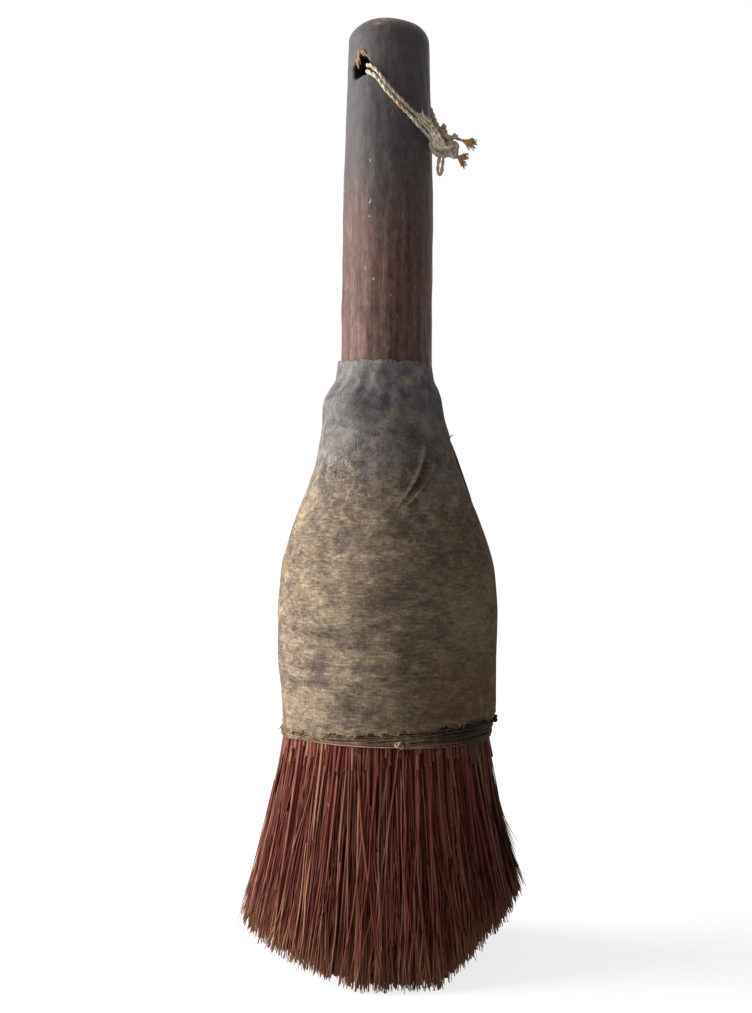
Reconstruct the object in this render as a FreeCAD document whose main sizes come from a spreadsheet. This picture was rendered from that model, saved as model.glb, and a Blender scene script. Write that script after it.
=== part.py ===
"""Round hand broom: a turned handle driven into a bundle of stems, under a cloth sleeve bound with cord.

Millimetres. +Z runs up the handle, the stem tips stand on Z = 0 and the broom's axis is X = Y = 0.
The front, where the hanging twine crosses the handle, faces -Y.
"""
import FreeCAD
import Part
import Sketcher

import math
import os
import random
import re

# Driving sizes: lengths in millimetres, turns in degrees, counts, and shares of the size they follow.
SIZES = {
    # Lengths along the broom, from the floor up
    "brush_length": 70.6,
    "sleeve_length": 116.8,
    "grip_length": 106.6,
    # Fits
    "soft_gap": 0.3,
    "wood_gap": 0.2,
    "cloth_ease": 0.5,
    # Handle
    "grip_radius": 14.0,
    "top_radius": 12.4,
    "top_round": 7.5,
    "taper_length": 54.0,
    "tail_length": 88.0,
    "tail_radius": 9.0,
    "tail_bevel": 2.0,
    "hole_drop": 17.0,
    "hole_radius": 2.6,
    "hole_turn": 43.0,
    # Cloth sleeve, as radii of its outside
    "cloth": 1.0,
    "collar_thick": 1.2,
    "collar_length": 6.4,
    "neck_slack": 0.6,
    "belly_radius": 34.5,
    "belly_reach": 2.1,
    "hem_reach": 1.3,
    "hem_step": 1.6,
    "lap_thick": 0.8,
    "lap_turn": 30.0,
    "lap_place": 16.0,
    # Where the sleeve's outline bends, as shares of its length and of its swell from neck to belly
    "bulge_height_share": 0.916,
    "bulge_reach_share": 0.64,
    "neck_height_share": 0.8425,
    "slope_height_share": 0.708,
    "slope_reach_share": 0.266,
    "shoulder_height_share": 0.574,
    "shoulder_reach_share": 0.63,
    "crown_height_share": 0.453,
    "crown_reach_share": 0.922,
    "belly_height_share": 0.32,
    "skirt_height_share": 0.2,
    "skirt_reach_share": 0.8,
    # Stems
    "flare_radius": 44.0,
    "base_radius": 31.0,
    "stem_thick": 1.5,
    "tip_thick": 1.0,
    "tip_step": 3.0,
    "stem_tuck": 28.0,
    "stem_lean": 1.0,
    "stem_count": 76,
    "stem_sides": 5,
    "stem_stray_share": 0.16,
    "stem_wear": 2.4,
    "stub_count": 60,
    "stub_length": 11.0,
    "stub_wear": 4.0,
    "long_rows": 3,
    # Worn slopes at the left and right of the foot: where each starts, and its rise at the flare
    "left_wear_start": 9.0,
    "left_wear_rise": 13.5,
    "right_wear_start": 15.0,
    "right_wear_rise": 22.5,
    "core_edge_height": 5.0,
    "core_edge_ease": 1.4,
    # Hidden fastening at the neck
    "neck_layer": 2.0,
    "neck_drop": 0.5,
    "wire_thick": 1.3,
    "wire_width": 6.5,
    "nail_drop": 3.8,
    "nail_radius": 0.9,
    "nail_length": 13.0,
    "nail_point": 2.5,
    "nail_head_radius": 1.7,
    "nail_head_thick": 0.7,
    # Cord wound round the sleeve's foot
    "cord_thick": 1.0,
    "cord_gap": 0.45,
    "cord_turns": 4,
    "front_knot_turn": 8.0,
    "side_knot_turn": 90.0,
    "knot_length": 3.2,
    "knot_radius": 1.3,
    "knot_end_radius": 0.9,
    "knot_mid_share": 0.3,
    "knot_drop": 0.45,
    # Hanging twine
    "twine_thick": 1.5,
    "bight_thick": 1.1,
    "loop_knot_length": 9.6,
    "loop_knot_radius": 4.0,
    "loop_knot_end_radius": 2.4,
}

# Sizes worked out from the driving ones, each rule written in their names.
RULES = {
    "sleeve_top": "brush_length + sleeve_length",
    "overall_height": "sleeve_top + grip_length",
    "taper_foot": "overall_height - taper_length",
    "hole_height": "overall_height - hole_drop",
    "tail_foot": "sleeve_top - tail_length",
    "bore_radius": "grip_radius + soft_gap",
    "collar_radius": "bore_radius + collar_thick",
    "collar_foot": "sleeve_top - collar_length",
    "neck_core": "grip_radius + neck_layer",
    "wire_bore": "neck_core + wood_gap",
    "neck_radius": "wire_bore + wire_thick + neck_slack + cloth",
    "swell": "belly_radius - neck_radius",
    "band_radius": "belly_radius - belly_reach",
    "hem_radius": "band_radius + hem_reach",
    "bulge_radius": "collar_radius + bulge_reach_share * (neck_radius - collar_radius)",
    "bulge_height": "brush_length + bulge_height_share * sleeve_length",
    "neck_height": "brush_length + neck_height_share * sleeve_length",
    "slope_radius": "neck_radius + slope_reach_share * swell",
    "slope_height": "brush_length + slope_height_share * sleeve_length",
    "shoulder_radius": "neck_radius + shoulder_reach_share * swell",
    "shoulder_height": "brush_length + shoulder_height_share * sleeve_length",
    "crown_radius": "neck_radius + crown_reach_share * swell",
    "crown_height": "brush_length + crown_height_share * sleeve_length",
    "belly_height": "brush_length + belly_height_share * sleeve_length",
    "skirt_radius": "hem_radius + skirt_reach_share * (belly_radius - hem_radius)",
    "skirt_height": "brush_length + skirt_height_share * sleeve_length",
    "cord_pitch": "cord_thick + cord_gap",
    "band_top": "brush_length + (cord_turns + 1) * cord_pitch",
    "hem_height": "band_top + hem_step",
    "filling": "cloth + cloth_ease",
    "layer": "stem_thick + soft_gap",
    "stub_waist": "band_radius - cloth - soft_gap - stem_thick / 2",
    "core_waist": "stub_waist - long_rows * layer - stem_thick / 2 - soft_gap",
    "stem_top": "brush_length + stem_tuck",
    "tip_radius": "flare_radius - tip_thick / 2",
    "core_edge_radius": "tip_radius - (long_rows - 1) * tip_step - tip_thick / 2 - core_edge_ease",
    "bundle_top": "bulge_height - neck_drop",
    "nail_height": "bundle_top - nail_drop",
    "wire_top": "nail_height - nail_head_radius - wood_gap",
    "wire_foot": "wire_top - wire_width",
    "neck_foot": "wire_foot - wood_gap",
    "nail_seat": "neck_core + wood_gap",
    "nail_tip": "nail_seat - nail_length",
    "nail_hole": "nail_radius + wood_gap / 2",
    "cord_radius": "band_radius + wood_gap + cord_thick / 2",
    "knot_lift": "knot_radius + soft_gap - cord_thick / 2",
}

ZERO = "0"
FULL_TURN = 360.0
FACING = {"left": 180.0, "right": 0.0}
QUARTERS = 4
BEND_SHARE = 0.45
GAP_SAMPLES = 1200
CORD_SIDES = 6
STEM_SEED = 7
ROWS = ("outer", "middle", "inner")

# Routes of the hanging twine: along the hole to the front, across it to the right, and up from its middle.
LOWER_STRAND = (
    (-5.2, 15.2, -22.6), (-2.4, 15.0, -20.8), (1.7, 14.5, -17.9), (4.9, 13.8, -15.3), (8.3, 12.1, -12.0),
    (11.5, 9.0, -7.8), (14.0, 4.2, -3.0), (14.5, 1.3, -1.3), (13.6, 0.1, -0.9), (11.0, 0.0, -0.9),
    (6.6, 0.1, -0.9), (0.0, -0.1, -0.9), (-6.6, 0.1, -0.9), (-11.6, 0.0, -0.9), (-14.2, 0.4, -1.4),
    (-14.4, 2.7, -4.6), (-13.6, 5.1, -8.3), (-12.5, 7.6, -12.1), (-11.8, 10.4, -15.6), (-11.0, 13.0, -19.4),
    (-10.2, 14.2, -21.2),
)
UPPER_STRAND = (
    (-5.6, 16.6, -20.4), (-2.4, 15.8, -18.2), (1.7, 14.6, -15.4), (4.9, 13.8, -12.8), (8.3, 12.1, -9.5),
    (11.5, 9.0, -5.3), (14.0, 4.2, -0.2), (14.5, 1.3, 0.8), (13.6, 0.1, 0.9), (11.0, 0.0, 0.9),
    (6.6, -0.1, 0.9), (0.0, 0.1, 0.9), (-6.6, -0.1, 0.9), (-11.6, 0.0, 0.9), (-14.2, 0.5, 0.7),
    (-14.6, 2.9, -1.6), (-13.9, 5.4, -5.2), (-12.9, 8.0, -9.0), (-12.3, 10.8, -12.4), (-11.6, 13.3, -15.8),
    (-9.8, 15.4, -19.8),
)
BIGHT = (
    (-8.3, 14.7, -24.4), (-7.6, 14.1, -27.2), (-7.2, 13.7, -29.4), (-7.3, 13.7, -31.1), (-8.1, 14.4, -31.9),
    (-8.8, 14.9, -30.8), (-9.0, 15.1, -28.6), (-9.7, 15.5, -24.8),
)
UPPER_TAIL = ((-11.2, 16.8, -20.1), (-13.2, 18.7, -20.7), (-14.7, 20.5, -22.0), (-15.8, 21.8, -23.5))
LOWER_TAIL = ((-11.1, 16.7, -24.4), (-12.4, 18.1, -26.1), (-13.6, 19.3, -27.8), (-14.4, 20.1, -29.4))
LOOP_KNOT_PLACE = (-8.1, 16.0, -27.5)

WORD = re.compile(r"[a-z][a-z_]*[a-z]")

doc = FreeCAD.newDocument("hand_broom")
sheet = doc.addObject("Spreadsheet::Sheet", "sizes")
for row, (alias, value) in enumerate(SIZES.items(), start=1):
    sheet.set(f"A{row}", alias)
    sheet.set(f"B{row}", str(value))
    sheet.setAlias(f"B{row}", alias)
doc.recompute()


def formula(rule):
    """Write a rule given in size names as an expression on the sheet."""
    def spell(match):
        word = match.group(0)
        if word in RULES:
            return "(" + formula(RULES[word]) + ")"
        return "sizes." + word if word in SIZES else word
    return WORD.sub(spell, rule)


def size(rule):
    """Work a rule out as a number."""
    return float(sheet.evalExpression(formula(rule)))


def origin_plane(body, role):
    """Find one of a body's own origin planes."""
    return next(plane for plane in body.Origin.OriginFeatures if plane.Role == role)


def new_sketch(body, name):
    """Start a sketch on the body's upright plane, with its second axis along +Z and its normal along -Y."""
    sketch = body.newObject("Sketcher::SketchObject", name)
    sketch.AttachmentSupport = (origin_plane(body, "XZ_Plane"), [""])
    sketch.MapMode = "FlatFace"
    return sketch


def hold_point(sketch, curve, end, radius_rule, height_rule):
    """Hold a point of a sketch at a radius and a height that follow the sheet."""
    for kind, axis, rule in (("DistanceX", -2, radius_rule), ("DistanceY", -1, height_rule)):
        if rule == ZERO:
            sketch.addConstraint(Sketcher.Constraint("PointOnObject", curve, end, axis))
        else:
            held = sketch.addConstraint(Sketcher.Constraint(kind, -1, 1, curve, end, size(rule)))
            sketch.setExpression(f"Constraints[{held}]", formula(rule))


def sketch_outline(sketch, path):
    """Draw a closed outline: a corner is (radius, height), with a point passed through added for an arc."""
    spots = [FreeCAD.Vector(size(step[0]), size(step[1]), 0) for step in path]
    ends = []
    for index, start in enumerate(spots):
        step = path[(index + 1) % len(path)]
        finish = spots[(index + 1) % len(path)]
        if len(step) == 2:
            curve = sketch.addGeometry(Part.LineSegment(start, finish), False)
        else:
            passed = FreeCAD.Vector(size(step[2]), size(step[3]), 0)
            curve = sketch.addGeometry(Part.Arc(start, passed, finish), False)
            mark = sketch.addGeometry(Part.Point(passed), True)
            sketch.addConstraint(Sketcher.Constraint("PointOnObject", mark, 1, curve))
            hold_point(sketch, mark, 1, step[2], step[3])
        first = sketch.getPoint(curve, 1)
        forward = first.distanceToPoint(start) <= first.distanceToPoint(finish)
        ends.append((curve, 1, 2) if forward else (curve, 2, 1))
    for index, (curve, near, far) in enumerate(ends):
        follower, start, _ = ends[(index + 1) % len(ends)]
        sketch.addConstraint(Sketcher.Constraint("Coincident", curve, far, follower, start))
        hold_point(sketch, curve, near, *path[index][:2])


def turned_body(name, path):
    """Make a body by turning an outline of (radius, height) corners about its own Z axis."""
    body = doc.addObject("PartDesign::Body", name)
    body.Label = name
    profile = new_sketch(body, name + "_outline")
    sketch_outline(profile, path)
    turn = body.newObject("PartDesign::Revolution", name + "_turned")
    turn.Profile = profile
    turn.ReferenceAxis = (profile, ["V_Axis"])
    turn.Angle = FULL_TURN
    doc.recompute()
    return body


def drilled(body, name, radius_rule, height_rule):
    """Sketch a round hole across a body's axis at a height."""
    sketch = new_sketch(body, name + "_circle")
    spot = FreeCAD.Vector(0, size(height_rule), 0)
    circle = sketch.addGeometry(Part.Circle(spot, FreeCAD.Vector(0, 0, 1), size(radius_rule)), False)
    held = sketch.addConstraint(Sketcher.Constraint("Radius", circle, size(radius_rule)))
    sketch.setExpression(f"Constraints[{held}]", formula(radius_rule))
    hold_point(sketch, circle, 3, ZERO, height_rule)
    drill = body.newObject("PartDesign::Pocket", name)
    drill.Profile = sketch
    drill.Type = "ThroughAll"
    return sketch, drill


def finished_cut(body, before):
    """Recompute a body and make sure that its last cut took something away."""
    doc.recompute()
    if body.Shape.Volume >= before:
        raise ValueError(f"a cut in {body.Label} took nothing away")


def edge_at(shape, radius, height):
    """Name the round edge of a shape that has a given radius and height."""
    def miss(edge):
        if not isinstance(edge.Curve, Part.Circle):
            return math.inf
        return abs(edge.Curve.Radius - radius) + abs(edge.Curve.Center.z - height)
    nearest = min(range(len(shape.Edges)), key=lambda index: miss(shape.Edges[index]))
    return f"Edge{nearest + 1}"


def eased_edge(body, kind, measure, rule, radius_rule, height_rule):
    """Round or bevel the edge of a body at a radius and a height."""
    base = body.Tip
    edge = edge_at(base.Shape, size(radius_rule), size(height_rule))
    easing = body.newObject(kind, rule)
    easing.Base = (base, [edge])
    easing.setExpression(measure, formula(rule))
    doc.recompute()


def plain_feature(name, shape, placement=None):
    """Put a shape worked out from the sheet into the document as a sub-part."""
    feature = doc.addObject("Part::Feature", name)
    feature.Label = name
    feature.Shape = shape
    feature.Placement = placement or FreeCAD.Placement()
    return feature


def handle():
    """Turned handle: tapered grip with a rounded top, pointed tail, hanging hole and nail hole."""
    body = turned_body("handle", (
        (ZERO, "tail_foot"),
        ("tail_radius", "tail_foot"),
        ("grip_radius", "neck_foot"),
        ("grip_radius", "taper_foot"),
        ("top_radius", "overall_height"),
        (ZERO, "overall_height"),
    ))
    eased_edge(body, "PartDesign::Fillet", "Radius", "top_round", "top_radius", "overall_height")
    eased_edge(body, "PartDesign::Chamfer", "Size", "tail_bevel", "tail_radius", "tail_foot")
    before = body.Shape.Volume
    sketch, hole = drilled(body, "hanging_hole", "hole_radius", "hole_height")
    facing = FreeCAD.Rotation(FreeCAD.Vector(0, -1, 0), size("hole_turn"))
    sketch.AttachmentOffset = FreeCAD.Placement(FreeCAD.Vector(), facing)
    sketch.setExpression("AttachmentOffset.Rotation.Angle", formula("hole_turn"))
    hole.SideType = "Symmetric"
    finished_cut(body, before)
    before = body.Shape.Volume
    sketch, _ = drilled(body, "handle_nail_hole", "nail_hole", "nail_height")
    sketch.setExpression("AttachmentOffset.Base.z", formula("wood_gap - nail_tip"))
    finished_cut(body, before)
    return body


def worn_slope(body, side):
    """Cut away the foot of a body below the worn slope at one side."""
    before = body.Shape.Volume
    outline = new_sketch(body, side + "_slope")
    facing = FreeCAD.Rotation(FreeCAD.Vector(0, 1, 0), FACING[side])
    outline.AttachmentOffset = FreeCAD.Placement(FreeCAD.Vector(), facing)
    sketch_outline(outline, (
        (side + "_wear_start", ZERO),
        ("flare_radius", ZERO),
        ("flare_radius", side + "_wear_rise"),
    ))
    cut = body.newObject("PartDesign::Pocket", side + "_wear")
    cut.Profile = outline
    cut.Type = "ThroughAll"
    cut.SideType = "Symmetric"
    finished_cut(body, before)


def core_bundle():
    """Packed inner stems: bored for the handle's tail, full under the sleeve, drawn in and then flared."""
    body = turned_body("core_bundle", (
        (ZERO, ZERO),
        ("base_radius", ZERO),
        ("core_edge_radius", "core_edge_height"),
        ("core_waist", "brush_length"),
        ("core_waist + stem_lean", "stem_top + soft_gap"),
        ("belly_radius - filling", "stem_top + layer"),
        ("belly_radius - filling", "belly_height"),
        ("crown_radius - filling", "crown_height"),
        ("shoulder_radius - filling", "shoulder_height"),
        ("slope_radius - filling", "slope_height"),
        ("neck_core", "neck_foot"),
        ("neck_core", "bundle_top"),
        ("bore_radius", "bundle_top"),
        ("bore_radius", "neck_foot"),
        ("tail_radius + soft_gap", "tail_foot"),
        ("tail_radius + soft_gap", "tail_foot - soft_gap"),
        (ZERO, "tail_foot - soft_gap"),
    ))
    before = body.Shape.Volume
    drilled(body, "bundle_nail_hole", "nail_hole", "nail_height")
    finished_cut(body, before)
    for side in FACING:
        worn_slope(body, side)
    return body


def sleeve():
    """Cloth sleeve: collar on the handle, bottle-shaped swell, foot drawn in by the cord, lapped edge."""
    body = turned_body("sleeve", (
        ("band_radius", "brush_length"),
        ("band_radius", "band_top"),
        ("hem_radius", "hem_height"),
        ("belly_radius", "belly_height", "skirt_radius", "skirt_height"),
        ("shoulder_radius", "shoulder_height", "crown_radius", "crown_height"),
        ("neck_radius", "neck_height", "slope_radius", "slope_height"),
        ("collar_radius", "collar_foot", "bulge_radius", "bulge_height"),
        ("collar_radius", "sleeve_top"),
        ("bore_radius", "sleeve_top"),
        ("bore_radius", "collar_foot - cloth"),
        ("bulge_radius - cloth", "bulge_height - cloth / 2"),
        ("neck_radius - cloth", "neck_height"),
        ("slope_radius - cloth", "slope_height"),
        ("shoulder_radius - cloth", "shoulder_height"),
        ("crown_radius - cloth", "crown_height"),
        ("belly_radius - cloth", "belly_height"),
        ("hem_radius - cloth", "hem_height"),
        ("band_radius - cloth", "band_top"),
        ("band_radius - cloth", "brush_length"),
    ))
    lap_outline = new_sketch(body, "lap_outline")
    facing = FreeCAD.Rotation(FreeCAD.Vector(0, -1, 0), size("lap_place"))
    lap_outline.AttachmentOffset = FreeCAD.Placement(FreeCAD.Vector(), facing)
    lap_outline.setExpression("AttachmentOffset.Rotation.Angle", formula("lap_place"))
    sketch_outline(lap_outline, (
        ("hem_radius - cloth / 2", "hem_height"),
        ("hem_radius + lap_thick", "hem_height"),
        ("belly_radius + lap_thick", "belly_height", "skirt_radius + lap_thick", "skirt_height"),
        ("shoulder_radius + lap_thick", "shoulder_height", "crown_radius + lap_thick", "crown_height"),
        ("neck_radius + lap_thick", "neck_height", "slope_radius + lap_thick", "slope_height"),
        ("neck_radius - cloth / 2", "neck_height"),
        ("shoulder_radius - cloth / 2", "shoulder_height", "slope_radius - cloth / 2", "slope_height"),
        ("belly_radius - cloth / 2", "belly_height", "crown_radius - cloth / 2", "crown_height"),
    ))
    lap = body.newObject("PartDesign::Revolution", "lapped_edge")
    lap.Profile = lap_outline
    lap.ReferenceAxis = (lap_outline, ["V_Axis"])
    lap.setExpression("Angle", formula("lap_turn"))
    doc.recompute()
    return body


def stem_prism(stations, turn):
    """Close a stem with flat sides through level stations, each a centre and a reach."""
    sides = int(size("stem_sides"))
    ways = [turn + FULL_TURN * side / sides for side in range(sides)]
    spokes = [FreeCAD.Vector(math.cos(math.radians(way)), math.sin(math.radians(way)), 0) for way in ways]
    rings = [[centre + spoke * reach for spoke in spokes] for centre, reach in stations]
    faces = [Part.Face(Part.makePolygon(ring + ring[:1])) for ring in (rings[0], rings[-1])]
    for upper, lower in zip(rings, rings[1:]):
        for side in range(sides):
            after = (side + 1) % sides
            corners = [upper[side], upper[after], lower[after], lower[side], upper[side]]
            faces.append(Part.Face(Part.makePolygon(corners)))
    solid = Part.makeSolid(Part.makeShell(faces))
    if solid.Volume < 0:
        solid.reverse()
    return solid


def spot(radius, turn, height):
    """Place a point by its radius, its turn from the front towards the right, and its height."""
    way = math.radians(turn)
    return FreeCAD.Vector(radius * math.sin(way), -radius * math.cos(way), height)


def worn_height(place):
    """Height of the worn foot at a place: level in the middle, with a straight slope up to either side."""
    side = "left" if place.x < 0 else "right"
    start = size(side + "_wear_start")
    past = max(abs(place.x) - start, 0)
    return size(side + "_wear_rise") * past / (size("flare_radius") - start)


def stem_row(row, layer_number, draws):
    """One ring of long stems: tucked under the sleeve, bent at the binding and flared to its worn tips."""
    count = int(size("stem_count"))
    waist = size("stub_waist") - layer_number * size("layer")
    tip_radius = size("tip_radius") - (layer_number - 1) * size("tip_step")
    step = FULL_TURN / count
    stems = []
    for index in range(count):
        turn = step * (index + layer_number / 2)
        stray = step * size("stem_stray_share") * draws.uniform(-1, 1)
        worn = size("stem_wear") * draws.random()
        tip_height = worn_height(spot(tip_radius, turn + stray, 0))
        slope = (tip_radius - waist) / (size("brush_length") - tip_height)
        stations = (
            (spot(waist + size("stem_lean"), turn, size("stem_top")), size("stem_thick") / 2),
            (spot(waist, turn, size("brush_length")), size("stem_thick") / 2),
            (spot(tip_radius - slope * worn, turn + stray, tip_height + worn), size("tip_thick") / 2),
        )
        stems.append(stem_prism(stations, turn))
    return plain_feature(row + "_stems", Part.makeCompound(stems))


def stub_stems(draws):
    """Short broken stems outside the long ones, ending raggedly just below the binding."""
    count = int(size("stub_count"))
    waist = size("stub_waist")
    inner = waist - size("layer")
    slope = (size("tip_radius") - inner) / size("brush_length - right_wear_rise")
    step = FULL_TURN / count
    stubs = []
    for index in range(count):
        turn = step * (index + size("stem_stray_share") * draws.uniform(-1, 1))
        length = size("stub_length") - size("stub_wear") * draws.random()
        stations = (
            (spot(waist + size("stem_lean"), turn, size("stem_top")), size("stem_thick") / 2),
            (spot(waist, turn, size("brush_length")), size("stem_thick") / 2),
            (spot(waist + slope * length, turn, size("brush_length") - length), size("stem_thick") / 2),
        )
        stubs.append(stem_prism(stations, turn))
    return plain_feature("stub_stems", Part.makeCompound(stubs))


def neck_binding():
    """Wire wound round the neck of the bundle under the cloth, as one plain collar of its outer shape."""
    return turned_body("neck_binding", (
        ("wire_bore", "wire_foot"),
        ("wire_bore + wire_thick / 2", "wire_foot"),
        ("wire_bore + wire_thick", "wire_foot + wire_thick / 2"),
        ("wire_bore + wire_thick", "wire_top - wire_thick / 2"),
        ("wire_bore + wire_thick / 2", "wire_top"),
        ("wire_bore", "wire_top"),
    ))


def neck_nail():
    """Nail driven through the neck of the bundle into the handle, above the wire."""
    body = turned_body("neck_nail", (
        (ZERO, ZERO),
        ("nail_radius", "nail_point"),
        ("nail_radius", "nail_length"),
        ("nail_head_radius", "nail_length"),
        ("nail_head_radius", "nail_length + nail_head_thick"),
        (ZERO, "nail_length + nail_head_thick"),
    ))
    facing = FreeCAD.Rotation(FreeCAD.Vector(0, 0, 1), FreeCAD.Vector(0, 1, 0))
    body.Placement = FreeCAD.Placement(FreeCAD.Vector(), facing)
    body.setExpression("Placement.Base.y", formula("nail_tip"))
    body.setExpression("Placement.Base.z", formula("nail_height"))
    return body


def arc_between(start, corner, finish):
    """Arc from start to finish, tangent there to the two equal runs that meet at a corner."""
    middle = (start + finish) / 2
    half = finish.distanceToPoint(start) / 2
    run = corner.distanceToPoint(start)
    return Part.Arc(start, middle + (corner - middle) * (half / (run + half)), finish)


def biarc(start, start_way, finish, finish_way):
    """Two arcs, tangent where they meet, from start to finish along the given directions."""
    chord = finish - start
    along = chord.dot(start_way + finish_way)
    spread = 2 * (1 - start_way.dot(finish_way))
    run = (math.sqrt(along ** 2 + spread * chord.dot(chord)) - along) / spread
    first = start + start_way * run
    second = finish - finish_way * run
    meeting = (first + second) / 2
    return [arc_between(start, first, meeting), arc_between(meeting, second, finish)]


def cord_tube(edges, thick):
    """Carry a flat-sided section of a given thickness along a path of lines and arcs."""
    path = Part.Wire([edge.toShape() for edge in edges])
    start = path.OrderedEdges[0]
    origin = start.valueAt(start.FirstParameter)
    facing = FreeCAD.Rotation(FreeCAD.Vector(0, 0, 1), start.tangentAt(start.FirstParameter))
    ways = [math.tau * side / CORD_SIDES for side in range(CORD_SIDES + 1)]
    ring = [FreeCAD.Vector(math.cos(way), math.sin(way), 0) * (thick / 2) for way in ways]
    section = Part.makePolygon([origin + facing.multVec(corner) for corner in ring])
    tube = path.makePipeShell([section], True, False)
    expected = Part.Face(section).Area * path.Length
    print(f"tube length {path.Length:.1f}, volume {tube.Volume:.1f} of {expected:.1f}")
    return path, tube


def winding_ends():
    """Path of the binding cord, with its two straight ends and their directions, from knot to knot."""
    begin = size("front_knot_turn")
    stations = QUARTERS * int(size("cord_turns")) + 1
    step = (size("side_knot_turn") - begin + FULL_TURN * size("cord_turns")) / stations
    rise = size("cord_pitch") * step / FULL_TURN
    foot = size("brush_length + cord_thick / 2")
    points = []
    ways = []
    for number in range(stations + 1):
        ending = number in (0, stations)
        drop = size("knot_drop") * ((number == 0) - (number == stations))
        radius = size("cord_radius") + size("knot_lift") * ending
        turn = begin + step * number
        points.append(spot(radius, turn, foot + rise * number - drop))
        climb = 0 if ending else size("cord_pitch") / math.tau
        ways.append((spot(radius, turn + FULL_TURN / QUARTERS, climb)).normalize())
    edges = [Part.LineSegment(points[0] - ways[0] * size("cord_thick"), points[0])]
    for number in range(stations):
        edges += biarc(points[number], ways[number], points[number + 1], ways[number + 1])
    edges.append(Part.LineSegment(points[-1], points[-1] + ways[-1] * size("cord_thick")))
    return edges, ways[0], ways[-1]


def least_gap(path, thick, turn_length):
    """Measure how near a winding comes to itself, between points at least half a turn apart."""
    marks = path.discretize(Number=GAP_SAMPLES)
    away = int(GAP_SAMPLES * turn_length / 2 / path.Length)
    nearest = min(
        marks[index].distanceToPoint(other)
        for index in range(len(marks))
        for other in marks[index + away:]
    )
    return nearest - thick


def binding_cord():
    """Cord wound round the sleeve's foot in one unbroken run, with a knot at each end."""
    edges, first_way, last_way = winding_ends()
    path, tube = cord_tube(edges, size("cord_thick"))
    gap = least_gap(path, size("cord_thick"), math.tau * size("cord_radius"))
    print(f"binding cord keeps {gap:.2f} mm from itself")
    knots = []
    for name, end, way in (
        ("binding_front_knot", edges[0].StartPoint, first_way * -1),
        ("binding_side_knot", edges[-1].EndPoint, last_way),
    ):
        knots.append(barrel_knot(name, "knot_length", "knot_radius", "knot_end_radius"))
        facing = FreeCAD.Rotation(FreeCAD.Vector(0, 0, 1), way)
        knots[-1].Placement = FreeCAD.Placement(end, facing)
    return [plain_feature("binding_cord", tube)] + knots


def barrel_knot(name, length_rule, radius_rule, end_rule):
    """Tight knot: a barrel with flat ends where the cord goes in."""
    return turned_body(name, (
        (ZERO, ZERO),
        (end_rule, ZERO),
        (radius_rule, f"knot_mid_share * {length_rule}"),
        (radius_rule, f"{length_rule} - knot_mid_share * {length_rule}"),
        (end_rule, length_rule),
        (ZERO, length_rule),
    ))


def rounded_route(points):
    """Straight runs between a route's points, joined by tangent arcs as large as the runs allow."""
    spots = [FreeCAD.Vector(*point) for point in points]
    edges = []
    radii = []
    start = spots[0]
    for before, corner, after in zip(spots, spots[1:], spots[2:]):
        trim = BEND_SHARE * min(corner.distanceToPoint(before), corner.distanceToPoint(after))
        entry = corner + (before - corner).normalize() * trim
        leave = corner + (after - corner).normalize() * trim
        edges.append(Part.LineSegment(start, entry))
        edges.append(arc_between(entry, corner, leave))
        radii.append(trim / math.tan((corner - before).getAngle(after - corner) / 2))
        start = leave
    edges.append(Part.LineSegment(start, spots[-1]))
    print("bend radii " + ", ".join(f"{radius:.1f}" for radius in radii))
    return edges


def hanging_loop():
    """Doubled twine through the handle's hole, its knot, the small bight below it and its two ends."""
    facing = FreeCAD.Rotation(FreeCAD.Vector(0, 0, -1), FULL_TURN / QUARTERS + size("hole_turn"))
    middle = FreeCAD.Placement(FreeCAD.Vector(0, 0, size("hole_height")), facing)
    pieces = []
    for name, route, thick in (
        ("loop_lower_strand", LOWER_STRAND, "twine_thick"),
        ("loop_upper_strand", UPPER_STRAND, "twine_thick"),
        ("loop_bight", BIGHT, "bight_thick"),
        ("loop_upper_tail", UPPER_TAIL, "twine_thick"),
        ("loop_lower_tail", LOWER_TAIL, "twine_thick"),
    ):
        tube = cord_tube(rounded_route(route), size(thick))[1]
        pieces.append(plain_feature(name, tube, middle))
    knot = barrel_knot("loop_knot", "loop_knot_length", "loop_knot_radius", "loop_knot_end_radius")
    knot.Placement = middle.multiply(FreeCAD.Placement(FreeCAD.Vector(*LOOP_KNOT_PLACE), FreeCAD.Rotation()))
    return pieces + [knot]


def main():
    """Build every sub-part, check each one and write it under its label."""
    draws = random.Random(STEM_SEED)
    parts = [handle(), core_bundle(), sleeve(), neck_binding(), neck_nail()]
    for number, row in enumerate(ROWS, start=1):
        parts.append(stem_row(row, number, draws))
    parts.append(stub_stems(draws))
    parts += binding_cord()
    parts += hanging_loop()
    doc.recompute()
    failed = [item.Label for item in doc.Objects if "Invalid" in item.State or "Error" in item.State]
    failed += [part.Label for part in parts if part.Shape.isNull() or not part.Shape.isValid()]
    if failed:
        raise ValueError("failed: " + ", ".join(failed))
    os.makedirs("parts", exist_ok=True)
    for part in parts:
        part.Shape.exportStep(f"parts/{part.Label}.step")
        print(f"{part.Label}: {len(part.Shape.Solids)} solids, {part.Shape.Volume:.0f} mm3")


main()
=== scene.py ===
"""Looks of a round hand broom: handle, canvas sleeve, binding, flared stems and a hanging loop.

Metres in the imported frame: +Z runs up the handle, the stem tips stand on Z = 0, the front faces -Y
and +X is to the right. A turn is an angle about the handle's axis, from the front towards the
right. Sizes are written in millimetres times MM.
"""

import logging
from dataclasses import dataclass
from enum import Enum
from typing import Sequence

import bpy
import numpy as np
from mathutils import Euler, Matrix, Vector
from numpy.typing import NDArray


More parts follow.
